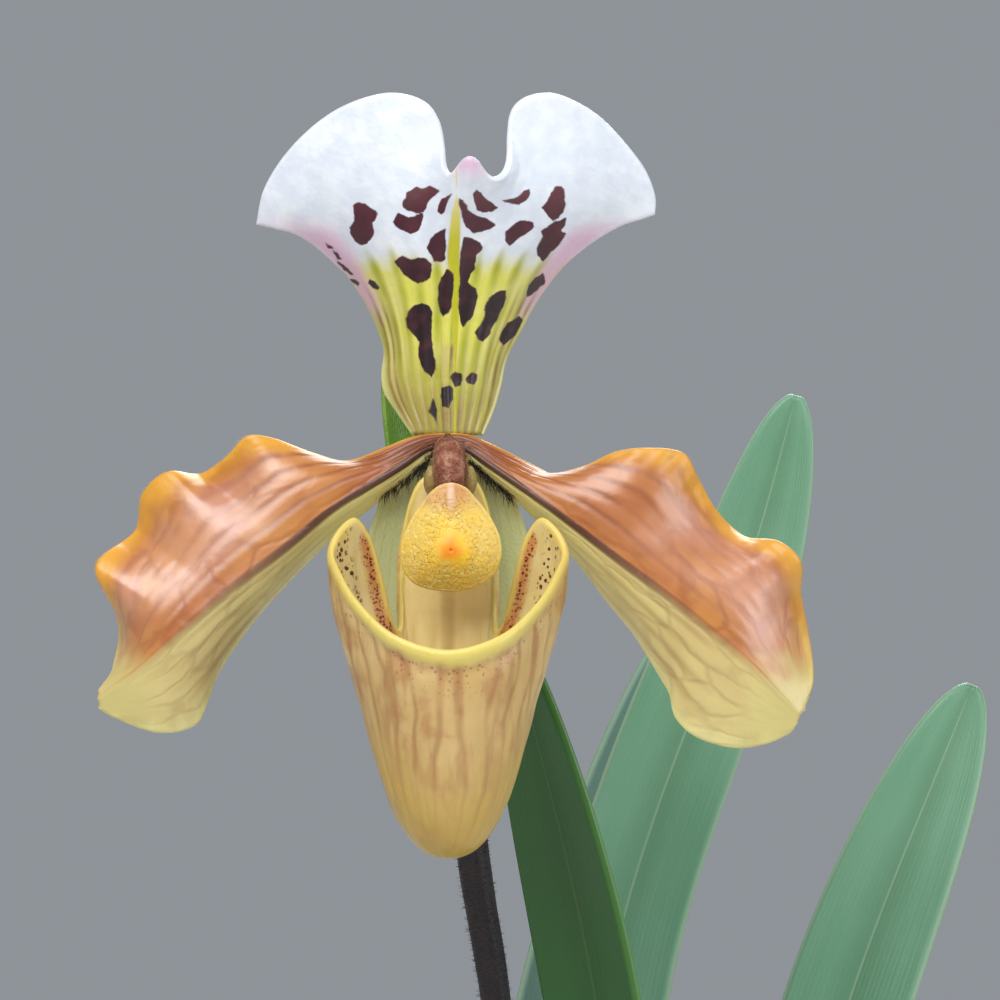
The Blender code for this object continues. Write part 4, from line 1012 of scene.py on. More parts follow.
LIP_RIM = [
    (0.0, -24.2, -26.6), (6.3, -22.8, -24.8), (10.6, -19.0, -21.0), (13.6, -14.8, -16.8),
    (14.7, -11.2, -14.0), (13.6, -8.8, -11.4), (11.6, -7.0, -10.0), (9.8, -6.2, -12.2),
    (8.4, -5.8, -17.0), (7.2, -5.0, -23.0), (6.3, -4.2, -24.0), (6.0, -3.2, -18.0),
    (5.6, -2.6, -11.0), (3.4, -2.2, -5.2), (0.0, -2.0, -4.2),
]
LIP_TOE = -52.4
LIP_LEVELS = [0.0, 0.3, 1.1, 2.4, 4.4, 6.8, 9.8, 13.6, 18.6, 25.0, 32.0, 40.0, 48.0]
LIP_HALF_WIDTH = [0.0, 1.7, 3.2, 4.5, 5.8, 7.0, 8.0, 9.1, 10.2, 11.5, 12.8, 13.2, 12.6]
LIP_HALF_DEPTH = [0.0, 1.7, 3.2, 4.5, 5.8, 6.9, 7.9, 8.8, 9.7, 10.4, 10.6, 10.6, 10.4]
LIP_MIDDLE_DEPTH = [
    -16.6, -16.6, -16.5, -16.3, -15.9, -15.4, -15.0, -14.6, -14.2, -13.8, -13.6, -13.6, -13.4,
]


def lip_bag(angle, height):
    """A point of the bag: an oval section whose size and middle follow the height, read
    with a smooth curve between the levels."""
    level = np.sqrt(np.clip(height - LIP_TOE, 0, None))
    knots = np.sqrt(np.array(LIP_LEVELS))
    fine = np.linspace(0, knots[-1], 400)
    kernel = np.hanning(41) / np.hanning(41).sum()
    sizes = []
    for values in (LIP_HALF_WIDTH, LIP_HALF_DEPTH, LIP_MIDDLE_DEPTH):
        read = np.interp(fine, knots, values)
        padded = np.concatenate([2 * read[0] - read[20:0:-1], read, 2 * read[-1] - read[-2:-22:-1]])
        sizes.append(np.interp(level, fine, np.convolve(padded, kernel, mode="valid")))
    width, depth, middle = sizes
    return np.stack([width * np.cos(angle), middle + depth * np.sin(angle), height], axis=-1)


def make_lip(material):
    """The pouch. Row by row the height falls from the rim to the toe as (1 - s)^1.9, and
    the rim's offset from the bag fades by 42% of the way down. A rolled, thicker lip of
    flesh follows the rim in front."""
    half = 150
    mirror = np.array([-1.0, 1.0, 1.0])
    control = np.array(LIP_RIM)
    wide = np.concatenate([control[3:0:-1] * mirror, control, control[-2:-5:-1] * mirror])
    fine = read_curve(wide, np.linspace(0, 1, 4000))
    first, last = (np.linalg.norm(fine - end, axis=1).argmin() for end in (control[0], control[-1]))
    rim = fine[np.linspace(first, last, half + 1).round().astype(int)]
    rim[0], rim[-1] = control[0], control[-1]
    angle = np.arctan2((rim[:, 1] + 13.6) / 10.6, rim[:, 0] / 13.2)
    angle = np.maximum.accumulate(np.clip(angle, -math.pi / 2, math.pi / 2))
    angle[0], angle[-1] = -math.pi / 2, math.pi / 2
    rim = np.concatenate([rim, rim[-2:0:-1] * mirror])
    angle = np.concatenate([angle, (math.pi - angle)[-2:0:-1]])
    share = np.linspace(0, 1, half + 1)
    ear_edge = np.concatenate([rim[: half + 1][(share > 0.50) & (share < 0.76)]] * 2)
    ear_edge[: len(ear_edge) // 2] *= mirror
    offset = rim - lip_bag(angle, rim[:, 2])
    rows, marks, tints = [], [], []
    columns = len(angle)
    turn = np.minimum(np.arange(columns), columns - np.arange(columns)) / columns
    first, last = [0, 0.0015, 0.004, 0.008], [0.993, 0.998]
    for share in np.concatenate([first, np.linspace(0.014, 0.985, 120), last]):
        height = LIP_TOE + (rim[:, 2] - LIP_TOE) * (1 - share) ** 1.9
        fade = 1 - smooth_step(share, 0.0, 0.42)
        row = lip_bag(angle, height) + offset * fade * np.array([1.0, 1.0, 0.0])
        below = rim[:, 2] - height
        front_share = smooth_step(-np.sin(angle), -0.10, 0.75)
        out = marks_of(np.cos(angle), np.sin(angle), 0.0)
        roll = 0.55 * hill(below, 0.7, 0.9) * front_share
        groove = 0.22 * hill(below, 2.9, 1.0) * front_share
        uneven = 0.10 * soft_noise(angle * 9 + 20, below * 0.35 + 7, 31) * smooth_step(below, 0, 4)
        ribbed = smooth_step(below, 2, 6) * (1 - smooth_step(below, 20, 27))
        ribs = 0.05 * np.cos(angle * 30) * ribbed
        off = np.linalg.norm(row[:, None] - rim[None], axis=2).min(axis=1)
        inner = np.linalg.norm(row[:, None] - ear_edge[None], axis=2).min(axis=1)
        ear = smooth_step(np.abs(row[:, 0]), 6.3, 7.3) * smooth_step(row[:, 1], -19.0, -17.0)
        row = row + out * (roll - groove + uneven + ribs)[:, None]
        rows.append(row)
        marks.append(marks_of(turn, below, off))
        tints.append(marks_of(inner, ear, 0.0))
    grid, marks, tints = (np.stack(made)[:, ::-1] for made in (rows, marks, tints))
    obj = sheet("lip", place(grid), 1.0, 0.7, around=True, place=marks, tint=tints)
    return use(obj, material, "lip", "lip")


def make_synsepal(material):
    """The fused lower sepals: a boat-shaped blade with two low keels."""
    v, u = fine_edges(90, 0.008), fine_edges(60, 0.01) * 2 - 1
    share, across = v[:, None], u[None, :]
    half = 11.2 * np.sin(np.pi * np.clip(0.16 + 0.80 * share, 0, 1)) ** 0.75
    x = half * across
    z = (-3.6 - 41.0 * share) + 3.0 * (1 - share) * (1 - across**2) * 0.5
    middle = 0.8 + 4.6 * np.sin(np.pi * share * 0.62)
    keels = 0.35 * hill(np.abs(across), 0.34, 0.05) * share
    y = middle - 2.2 * np.abs(across) ** 2 * np.sin(np.pi * share) + keels
    marks = marks_of(across, share, 0.0)
    obj = sheet("synsepal", place(marks_of(x, y, z)), 0.9, 0.5, place=marks)
    return use(obj, material, "synsepal", "synsepal")


SHIELD_EDGE = [
    (-0.2, 6.6), (0.8, 6.5), (1.8, 6.0), (2.7, 5.0), (3.8, 3.7), (4.9, 2.1), (5.8, 0.2),
    (6.05, -1.6), (5.8, -3.1), (5.1, -4.4), (3.9, -5.4), (2.3, -6.1), (0.5, -6.45),
    (-1.4, -6.35), (-3.3, -6.0), (-4.7, -5.3), (-5.5, -4.3), (-5.95, -3.1), (-6.05, -1.7),
    (-5.8, -0.2), (-5.1, 1.5), (-4.2, 3.1), (-3.1, 4.7), (-2.1, 5.8), (-1.2, 6.4),
]


def make_staminode(material):
    """The shield: rings drawn in to a point below its middle, on a dome
    2.2 (1 - s^2) + 0.5 exp(-(s/0.35)^2) over its outline, with papillae raised by soft
    noise, a pale ridge down from the top and a drawn-in rim."""
    turn = np.linspace(0, 1, 240, endpoint=False)
    closed = np.array(SHIELD_EDGE[-3:] + SHIELD_EDGE + SHIELD_EDGE[:4])
    fine = read_curve(closed, np.linspace(0, 1, 4000))
    off = np.linalg.norm(fine - SHIELD_EDGE[0], axis=1)
    first, last = off[:2000].argmin(), off[2000:].argmin() + 2000
    outline = fine[np.linspace(first, last, 241).round().astype(int)[:-1]][::-1]
    shares = np.concatenate([[1.0, 0.995, 0.985], np.linspace(0.97, 0.02, 105)])
    s = shares[:, None]
    x, z = outline[None, :, 0] * s, -1.4 * (1 - s) + outline[None, :, 1] * s
    dome = 2.2 * (1 - s**2) + 0.5 * hill(s, 0, 0.35)
    grainy = soft_noise(x * 3.1 + 30, z * 3.1 + 30, 41)
    grainy = grainy + 0.7 * soft_noise(x * 6.3 + 30, z * 6.3 + 30, 42)
    dome = dome + 0.05 * grainy * smooth_step(s, 0.22, 0.4) * (1 - smooth_step(s, 0.93, 0.99))
    dome = dome + 0.08 * hill(s, 0.965, 0.025)
    dome = dome + 0.40 * hill(x, 0.0, 0.45) * smooth_step(z, 1.8, 5.0) * (1 - s**6)
    grid = marks_of(x, -dome, z) + place([0.38, -10.8, -12.5])
    marks = marks_of(s, x, z)
    pole = np.repeat(grid[-1].mean(axis=0)[None, None], len(turn), axis=1)
    grid = np.concatenate([grid, pole + (grid[-1:] - pole) * 0.05])
    marks = np.concatenate([marks, marks[-1:]])
    obj = sheet("staminode", grid[:, ::-1], 0.9, 0.35, around=True, place=marks[:, ::-1])
    return use(obj, material, "staminode", "staminode")


COLUMN_PATH = [(0, -2.1, -0.9), (0.1, -4.2, -1.1), (0.3, -6.8, -2.9), (0.4, -7.8, -6.4)]
COLUMN_RADII = [0.7, 1.15, 1.55, 1.8, 1.9, 1.9, 1.75, 1.35]


def blob(name, middle, size, material, slot, bumps=0.04, rows=26, sides=36):
    """An egg-shaped body, (x/a)^2 + (y/b)^2 + (z/c)^2 = 1, made uneven by soft noise."""
    down = np.linspace(0.06, math.pi - 0.06, rows)[:, None]
    turn = np.linspace(0, 2 * math.pi, sides, endpoint=False)[None, :]
    uneven = 1 + bumps * soft_noise(np.cos(turn) * 3 + 9, down * 3 + 5, 17)
    ball = marks_of(np.sin(down) * np.cos(turn), np.sin(down) * np.sin(turn), np.cos(down))
    grid = ball * uneven[..., None] * np.array(size) + np.array(middle)
    return use(closed_tube(name, grid[::-1]), material, slot)


def column_look():
    """Dusty red-brown with a pale line down the front, read from the attribute place:
    (share round, share along)."""
    material, n, shader = new_material("column", 0.55, 0.0, 0.3)
    turn, along, _ = n.marks("place")
    made = n.group(
        TISSUE,
        Color=(0.25, 0.07, 0.036),
        Tint=(0.5, 0.25, 0.15),
        Amount=1.0,
        Scale=520.0,
        Cells=2600.0,
    )
    pale = n.fall(abs(turn), 0.012, 0.05) * n.step(along, 0.25, 0.8)
    color = n.mix(pale * 0.7, made["Color"], (0.66, 0.4, 0.3))
    color = n.mix(n.fall(along, 0.05, 0.42), color, (0.06, 0.012, 0.008))
    finish_look(n, shader, color, made["Height"], 0.22)
    return material


def make_column(material, pale, fuzz):
    """The stalk, the stigma behind the shield and a pollen mass at each side."""
    path = read_curve(np.array(COLUMN_PATH) + FLOWER, np.linspace(0, 1, 60))
    radii = np.interp(np.linspace(0, 7, 60), np.arange(8), COLUMN_RADII)
    grid = tube_grid(path, radii, 64)
    front = (np.linspace(0, 1, 64, endpoint=False) + 0.25) % 1.0
    marks = marks_of(np.minimum(front, 1 - front), np.linspace(0, 1, 60)[:, None], 0.0)
    use(closed_tube("column", grid, place=marks), material, "column", "column")
    hairs_round("column_hairs", path, radii, 3200, 0.45, fuzz, "column", 13, 0.028)
    blob("stigma", FLOWER + (0.4, -5.9, -8.6), (2.6, 1.7, 3.2), pale, "column")
    for name, x in (("pollen_mass_left", -2.0), ("pollen_mass_right", 2.7)):
        blob(name, FLOWER + (x, -5.4, -5.2), (0.95, 1.2, 1.9), pale, "column")


# Stem, ovary, bract and leaves

SCAPE_PATH = [
    (0, -0.6, 90.35), (0.2, -2.6, 140), (-2.4, -5.5, 212), (-5.2, -8.0, 242), (-8.1, -10.0, 261),
    (-10.3, -12.8, 287),
]
OVARY_PATH = [
    (-10.4, -13.1, 288.5), (-10.8, -16.8, 300), (-11.0, -25.0, 311.0), (-11, -35.0, 316.8),
    (-11, -43.2, 318),
]
BRACT_PATH = [(-10.3, -9.2, 286.5), (-12.0, -7.4, 298), (-14.6, -7.6, 312), (-18.6, -9.8, 328)]
BRACT_HALF_WIDTH = 7.4
BRACT_HALF_ARC = math.radians(74)


def hairs_round(name, path, radii, count, length, material, slot, seed, thick=0.035):
    """Short hairs that stand out from a rod at random places, each leaning a little up."""
    draw = np.random.default_rng(seed)
    share = draw.uniform(0.01, 0.99, count) * (len(path) - 1)
    low = np.floor(share).astype(int)
    part = (share - low)[:, None]
    centre = path[low] * (1 - part) + path[low + 1] * part
    heading = unit(path[low + 1] - path[low])
    radius = np.interp(share, np.arange(len(path)), radii)[:, None]
    out = unit(np.cross(heading, draw.normal(size=(count, 3))))
    root = centre + out * (radius * 0.97)
    reach = length * draw.uniform(0.55, 1.15, (count, 1))
    tip = root + (out + heading * draw.uniform(-0.1, 0.5, (count, 1))) * reach
    return use(needles(name, root, tip, thick), material, slot)


def make_stem(scape_look, ovary_look, dark, pale):
    """The dark flower stem and the ribbed ovary at its top, each with short hairs."""
    path = read_curve(SCAPE_PATH, np.linspace(0, 1, 260))
    radii = np.interp(np.linspace(0, 1, 260), (0.0, 0.75, 0.985, 1.0), (2.3, 2.0, 2.35, 2.2))
    radii = radii * (1 + 0.015 * soft_noise(np.linspace(0, 40, 260), np.zeros(260), 3))
    grid = tube_grid(path, radii, 40, 5, 0.02)
    use(closed_tube("scape", grid), scape_look, "scape", "scape")
    hairs_round("scape_hairs", path, radii, 5200, 0.65, dark, "scape", 11)
    path = read_curve(OVARY_PATH, np.linspace(0, 1, 150))
    radii = 2.1 + 0.7 * np.sin(np.pi * np.linspace(0.05, 0.85, 150))
    grid = tube_grid(path, radii, 72, 6, 0.07)
    use(closed_tube("ovary", grid), ovary_look, "ovary", "ovary")
    hairs_round("ovary_hairs", path, radii, 2600, 0.8, pale, "ovary", 12)


def make_bract(material):
    """The sheath: an arc of 148 degrees across at each height, narrowing to its tip."""
    shares = fine_edges(90, 0.01)
    midrib = read_curve(BRACT_PATH, shares)
    across, up = turned_to(unit(np.gradient(midrib, axis=0)), np.array([[0.1, -1.0, 0.0]]))
    half = BRACT_HALF_WIDTH * np.sqrt(np.clip(1 - np.clip((shares - 0.2) / 0.81, 0, 1) ** 2, 0, 1))
    half = np.maximum(half * (0.62 + 0.38 * smooth_step(shares, 0, 0.3)), 0.25)
    v = fine_edges(60, 0.012) * 2 - 1
    turn = v[None, :, None] * BRACT_HALF_ARC
    radius = (half / BRACT_HALF_ARC)[:, None, None]
    grid = midrib[:, None] + across[:, None] * radius * np.sin(turn)
    grid = grid + up[:, None] * radius * (1 - np.cos(turn))
    grid = grid - up[:, None] * (0.25 * hill(v, 0, 0.05))[None, :, None]
    marks = marks_of(v[None, :], shares[:, None], 0.0)
    return use(sheet("bract", grid, 0.7, 0.4, place=marks), material, "bract", "bract")


def bract_look():
    """Fresh green with fine lengthwise veins and dark speckles on its foot."""
    material, n, shader = new_material("bract", 0.45, 0.1, 0.25)
    across, along, _ = n.marks("place")
    made = n.group(
        TISSUE,
        Color=(0.13, 0.27, 0.03),
        Tint=(0.26, 0.42, 0.07),
        Amount=0.8,
        Scale=150.0,
        Cells=2300.0,
    )
    vein = n.group(VEINS, Across=across * 14.0, Width=0.25, Wobble=0.2, Scale=90.0)["Mask"]
    color = n.mix(vein * 0.5, made["Color"], (0.07, 0.15, 0.02))
    dots = n.group(SPECKLES, Scale=800.0, Size=0.35, Share=0.5)["Mask"]
    low = n.fall(along, 0.05, 0.55)
    color = n.mix(dots * low, color, (0.11, 0.025, 0.04))
    finish_look(n, shader, color, made["Height"] + vein, 0.1)
    return material


def leaf_look(name, upper, tint, vein_and_fold_shade, rim=(0.36, 0.50, 0.34), bloom_and_painted_sheen=0.6):
    """A strap leaf: upper is the blade's colour, tint that of its waxy coat, vein_and_fold_shade
    that of the veins and of the painted shade in the fold along the midrib, rim that of the
    edges and the channel. The attribute place holds (share across, share along, a streak)."""
    material, n, shader = new_material(name, 0.5, 0.15, 0.1, 1.0)
    across, along, streak = n.marks("place")
    side = n.mark("side")
    drifting = n.noise(26.0, 5.0) + streak * 0.06
    waxy = n.step(drifting, 0.25, 0.75)
    color = n.mix(waxy * bloom_and_painted_sheen, upper, tint)
    vein = n.group(VEINS, Across=across * 13.0, Width=0.45, Wobble=0.1, Scale=30.0)["Mask"]
    color = n.mix(vein * 0.14, color, vein_and_fold_shade)
    off = abs(across)
    # Painted shade: the leaf darkens towards its midrib, in the fold between its two halves.
    trough_shade = n.fall(off, 0.05, 0.5)
    color = n.mix(trough_shade * 0.45, color, vein_and_fold_shade)
    channel = n.fall(off, 0.012, 0.05)
    color = n.mix(channel * 0.45, color, rim)
    color = n.mix(n.step(off, 0.93, 0.995) * 0.6, color, rim)
    foot = n.fall(along, 0.0, 0.14)
    color = n.mix(foot * 0.55, color, (0.42, 0.44, 0.12))
    dots = n.group(SPECKLES, Scale=620.0, Size=0.32, Share=0.35)["Mask"]
    stained = dots * n.fall(along, 0.02, 0.12)
    color = n.mix(stained * 0.8, color, (0.12, 0.02, 0.05))
    color = n.mix(side * 0.45, color, (0.16, 0.32, 0.13))
    height = n.noise(1300.0, 3.0) * 0.35 - vein * 0.5
    finish_look(n, shader, color, height, 0.06, waxy * 0.16 + 0.36)
    return material


LEAVES = {
    "leaf_1": (
        [(10.8, 0.0, 0), (15.0, -10.0, 172), (9.4, -18.5, 238), (-2.4, -26.0, 291)],
        8.5,
        (-0.62, -0.70, 0.15),
    ),
    "leaf_2": (
        [(7.2, 0.0, 0), (7.6, 14.0, 172), (11.2, 24.0, 240), (31.6, 30.0, 300), (37.4, 31.0, 321)],
        9.0, (-0.10, -0.97, 0.20),
    ),
    "leaf_3": (
        [(-7.2, 0.0, 0), (-5.0, 20.0, 172), (6.6, 38.0, 235), (24.5, 45.0, 291)],
        9.0,
        (0.20, -0.95, 0.20),
    ),
    "leaf_4": (
        [(14.4, 0.0, 0), (27.0, 6.0, 175), (43.2, 15.0, 235), (61.4, 20.0, 281)],
        9.0,
        (-0.15, -0.95, 0.28),
    ),
    "leaf_5": (
        [(-10.8, 0.0, 0), (-20.0, 12.0, 162), (-26.0, 23.0, 200), (-40.0, 31.0, 232)],
        9.0,
        (0.25, -0.92, 0.30),
    ),
    "leaf_6": (
        [(-14.4, 0.0, 0), (-39.0, -10.0, 158), (-73.0, -18.0, 200), (-110.0, -26.0, 194)],
        10.0,
        (0.25, -0.30, 0.92),
    ),
    "leaf_7": (
        [(18.0, 0.0, 0), (49.0, -10.0, 150), (86.0, -20.0, 180), (122.0, -27.0, 168)],
        10.0,
        (-0.25, -0.30, 0.92),
    ),
    "leaf_8": (
        [(-18.0, 0.0, 0), (-50.0, 15.0, 130), (-77.0, 38.0, 142), (-101.0, 58.0, 122)],
        9.4,
        (0.20, 0.05, 0.97),
    ),
}
LEAF_FOOT = 90.35
LEAF_FOOT_HALF_WIDTH = 6.6
LEAF_FOOT_FOLD = math.radians(27)
LEAF_BLADE_FOLD = math.radians(14)


def make_leaf(name, material, seed):
    """A strap leaf. Both halves rise from the midrib by (sqrt(v^2 + 0.08^2) - 0.08)^1.15
    sin(fold) half, over v cos(fold) half across, and the width closes in the blunt tip as
    sqrt(1 - ((t - 0.72) / 0.281)^2.6). A shallow channel runs down the midrib."""
    points, half_width, facing = LEAVES[name]
    foot = points[0]
    control = [(foot[0], foot[1], LEAF_FOOT), (foot[0], foot[1], LEAF_FOOT + 16.0)] + points[1:]
    even = np.concatenate([np.linspace(0, 0.985, 190), np.linspace(0.988, 1.0, 12)])
    share = 1 - (1 - even) ** 1.25
    midrib = read_curve(control, share)
    blend = smooth_step(share, 0.18, 0.62)[:, None]
    up = np.array([-np.sign(foot[0]), 0.0, 0.0]) * (1 - blend) + np.array(facing) * blend
    across, up = turned_to(unit(np.gradient(midrib, share, axis=0)), up)
    fold = LEAF_FOOT_FOLD + (LEAF_BLADE_FOLD - LEAF_FOOT_FOLD) * smooth_step(share, 0.05, 0.5)
    wider = half_width - LEAF_FOOT_HALF_WIDTH
    widen = LEAF_FOOT_HALF_WIDTH + wider * smooth_step(share, 0.1, 0.6)
    half = widen * np.sqrt(np.clip(1 - np.clip((share - 0.72) / 0.281, 0, 1) ** 2.6, 0, 1))
    v = fine_edges(44, 0.015) * 2 - 1
    size = np.maximum(np.sqrt(v**2 + 0.08**2) - 0.08, 0)[None, :, None]
    half, fold = half[:, None, None], fold[:, None, None]
    grid = midrib[:, None] + across[:, None] * v[None, :, None] * np.cos(fold) * half
    grid = grid + up[:, None] * size**1.15 * np.sin(fold) * half
    t = share[:, None] + 0 * v[None, :]
    wave = soft_noise(t * 9 + seed, v[None, :] * 1.4 + 7 + 0 * t, seed)
    wave = wave * 0.35 * smooth_step(t, 0.2, 0.5)
    channel = -0.16 * hill(v[None, :] + 0 * t, 0, 0.10) * (1 - smooth_step(t, 0.9, 1.0))
    ridges = 0.03 * np.cos(v[None, :] * 30 * math.pi) + 0 * t
    tip = half[:, :, 0] / np.maximum(widen[:, None], 1e-6)
    grid = grid + up[:, None] * ((wave + channel + ridges) * tip**2)[:, :, None]
    marks = marks_of(v[None, :], t, soft_noise(t * 20, v[None, :] * 6 + 0 * t, seed + 3))
    return use(sheet(name, grid, 1.5, 0.8, place=marks), material, "leaf", name)


def make_leaves():
    """The leaves: one in a dark green that paints the shade it lies in, one greyish, the others
    blue-green.
    """
    blue = leaf_look(
        "blue-green leaf",
        upper=(0.135, 0.315, 0.190),
        tint=(0.205, 0.400, 0.270),
        vein_and_fold_shade=(0.085, 0.215, 0.110),
    )
    grey = leaf_look(
        "grey-green leaf",
        upper=(0.135, 0.245, 0.205),
        tint=(0.19, 0.32, 0.275),
        vein_and_fold_shade=(0.09, 0.18, 0.145),
    )
    # Painted shade: this leaf's colours are a darkened copy of a green leaf's, standing for the
    # shade it lies in.
    shaded = leaf_look(
        "shaded green leaf",
        upper=(0.010, 0.095, 0.006),
        tint=(0.025, 0.140, 0.022),
        vein_and_fold_shade=(0.010, 0.075, 0.005),
        rim=(0.070, 0.21, 0.030),
    )
    looks = {"leaf_1": shaded, "leaf_3": grey}
    for k, name in enumerate(LEAVES):
        make_leaf(name, looks.get(name, blue), 20 + k)


# Crown, bark and pot

BARK_TOP = 88.0
CROWN_TOP = 90.0
CROWN_HALF = (22.1, 8.1)
BED_RADIUS = 49.0
CHIP_DRAWS = 330
POT_SIDES = 200
DRAIN_RADIUS = 4.5
DRAIN_CIRCLE = 20.0
DRAIN_COUNT = 4
POT = [
    # distance from the middle and height, from inside the floor round to the foot
    (0.0, 6.0), (36.5, 6.0), (51.5, 97.0), (52.5, 100.0), (55.8, 100.0), (57.0, 98.6),
    (56.0, 81.2), (54.8, 80.0), (50.8, 80.0), (40.0, 1.5), (38.5, 0.0), (0.0, 0.0),
]


def rounded(profile, radius, steps=5):
    """The profile with each corner cut by a small curve (1-t)^2 A + 2t(1-t) P + t^2 B."""
    points = [np.array(profile[0])]
    for a, p, b in zip(profile, profile[1:], profile[2:]):
        a, p, b = map(np.array, (a, p, b))
        one, two = np.linalg.norm(a - p), np.linalg.norm(b - p)
        start = p + (a - p) / one * min(radius, one * 0.4)
        end = p + (b - p) / two * min(radius, two * 0.4)
        for t in np.linspace(0, 1, steps):
            points.append((1 - t) ** 2 * start + 2 * t * (1 - t) * p + t**2 * end)
    points.append(np.array(profile[-1]))
    return np.array(points)


def finer(points, longest):
    """Adds points so that no step is longer than the given length."""
    out = [points[0]]
    for a, b in zip(points, points[1:]):
        count = max(1, int(math.ceil(np.linalg.norm(b - a) / longest)))
        out += [a + (b - a) * k / count for k in range(1, count + 1)]
    return np.array(out)


def make_pot(material):
    """A turned clay pot: its wall carries faint throwing rings, and drainage holes are cut
    through its floor."""
    profile = finer(rounded(POT, 1.1), 2.0)
    turn = np.linspace(0, 2 * math.pi, POT_SIDES, endpoint=False)[None, :]
    r, z = profile[1:-1, :1], profile[1:-1, 1:]
    rings = 0.07 * np.sin(z * 2.6) + 0.05 * np.sin(z * 1.3 + 2.0)
    rings = rings * smooth_step(z, 8, 16) * (1 - smooth_step(z, 76, 79))
    uneven = 0.10 * soft_noise(np.cos(turn) * 3 + 9, z * 0.08 + 5 + 0 * turn, 51)
    radius = r + (rings + uneven) * smooth_step(r, 30.0, 37.0)
    pot = closed_tube("pot", marks_of(radius * np.cos(turn), radius * np.sin(turn), z))
    cutters = []
    for k in range(DRAIN_COUNT):
        angle = 2 * math.pi * (k + 0.5) / DRAIN_COUNT
        middle = Vector((math.cos(angle), math.sin(angle), 0)) * DRAIN_CIRCLE * MM
        bpy.ops.mesh.primitive_cylinder_add(
            vertices=40, radius=DRAIN_RADIUS * MM, depth=18 * MM, location=middle
        )
        cutters.append(bpy.context.object)
        cut = pot.modifiers.new("hole", "BOOLEAN")
        cut.operation, cut.object = "DIFFERENCE", cutters[-1]
    graph = bpy.context.evaluated_depsgraph_get()
    made = bpy.data.meshes.new_from_object(pot.evaluated_get(graph))
    pot.modifiers.clear()
    pot.data = made
    for cutter in cutters:
        bpy.data.objects.remove(cutter, do_unlink=True)
    made.set_sharp_from_angle(angle=math.radians(50))
    return use(pot, material, "clay", "pot")


def clay_look():
    """Fired clay with grit, pale salts low on the wall and a damp foot."""
    material, n, shader = new_material("clay", 0.85)
    color = n.mix(n.step(n.noise(28.0, 5.0), 0.3, 0.7), (0.5, 0.2, 0.1), (0.62, 0.29, 0.16))
    color = n.mix(n.step(n.noise(380.0, 4.0), 0.5, 0.75) * 0.4, color, (0.7, 0.42, 0.28))
    grit = n.group(SPECKLES, Scale=520.0, Size=0.22, Share=0.4)["Mask"]
    color = n.mix(grit * 0.5, color, (0.3, 0.11, 0.06))
    z = n.split(n.spot())[2]
    salts = n.step(n.noise(45.0, 6.0), 0.52, 0.72) * n.step(z, 0.085, 0.02)
    color = n.mix(salts * 0.45, color, (0.76, 0.66, 0.58))
    damp = n.fall(z + n.noise(60.0, 3.0) * 0.02, 0.012, 0.034)
    color = n.mix(damp * 0.35, color, (0.3, 0.12, 0.07))
    finish_look(n, shader, color, n.noise(900.0, 4.0) - grit * 0.6, 0.16)
    return material


def bark_look():
    """Brown bark in thin layers. The attribute shade holds a chip's own lightness."""
    material, n, shader = new_material("bark", 0.88)
    flat = n.stretched(1, 1, 3)
    color = n.mix(n.mark("shade"), (0.085, 0.035, 0.018), (0.26, 0.12, 0.06))
    layers = n.step(n.noise(420.0, 5.0, flat, 0.65), 0.35, 0.7)
    color = n.mix(layers * 0.65, color, (0.36, 0.19, 0.1))
    dark = n.step(n.noise(210.0, 4.0), 0.55, 0.72)
    color = n.mix(dark * 0.7, color, (0.035, 0.016, 0.01))
    height = n.noise(700.0, 6.0, flat, 0.7) + layers * 0.5
    finish_look(n, shader, color, height, 0.5)
    return material


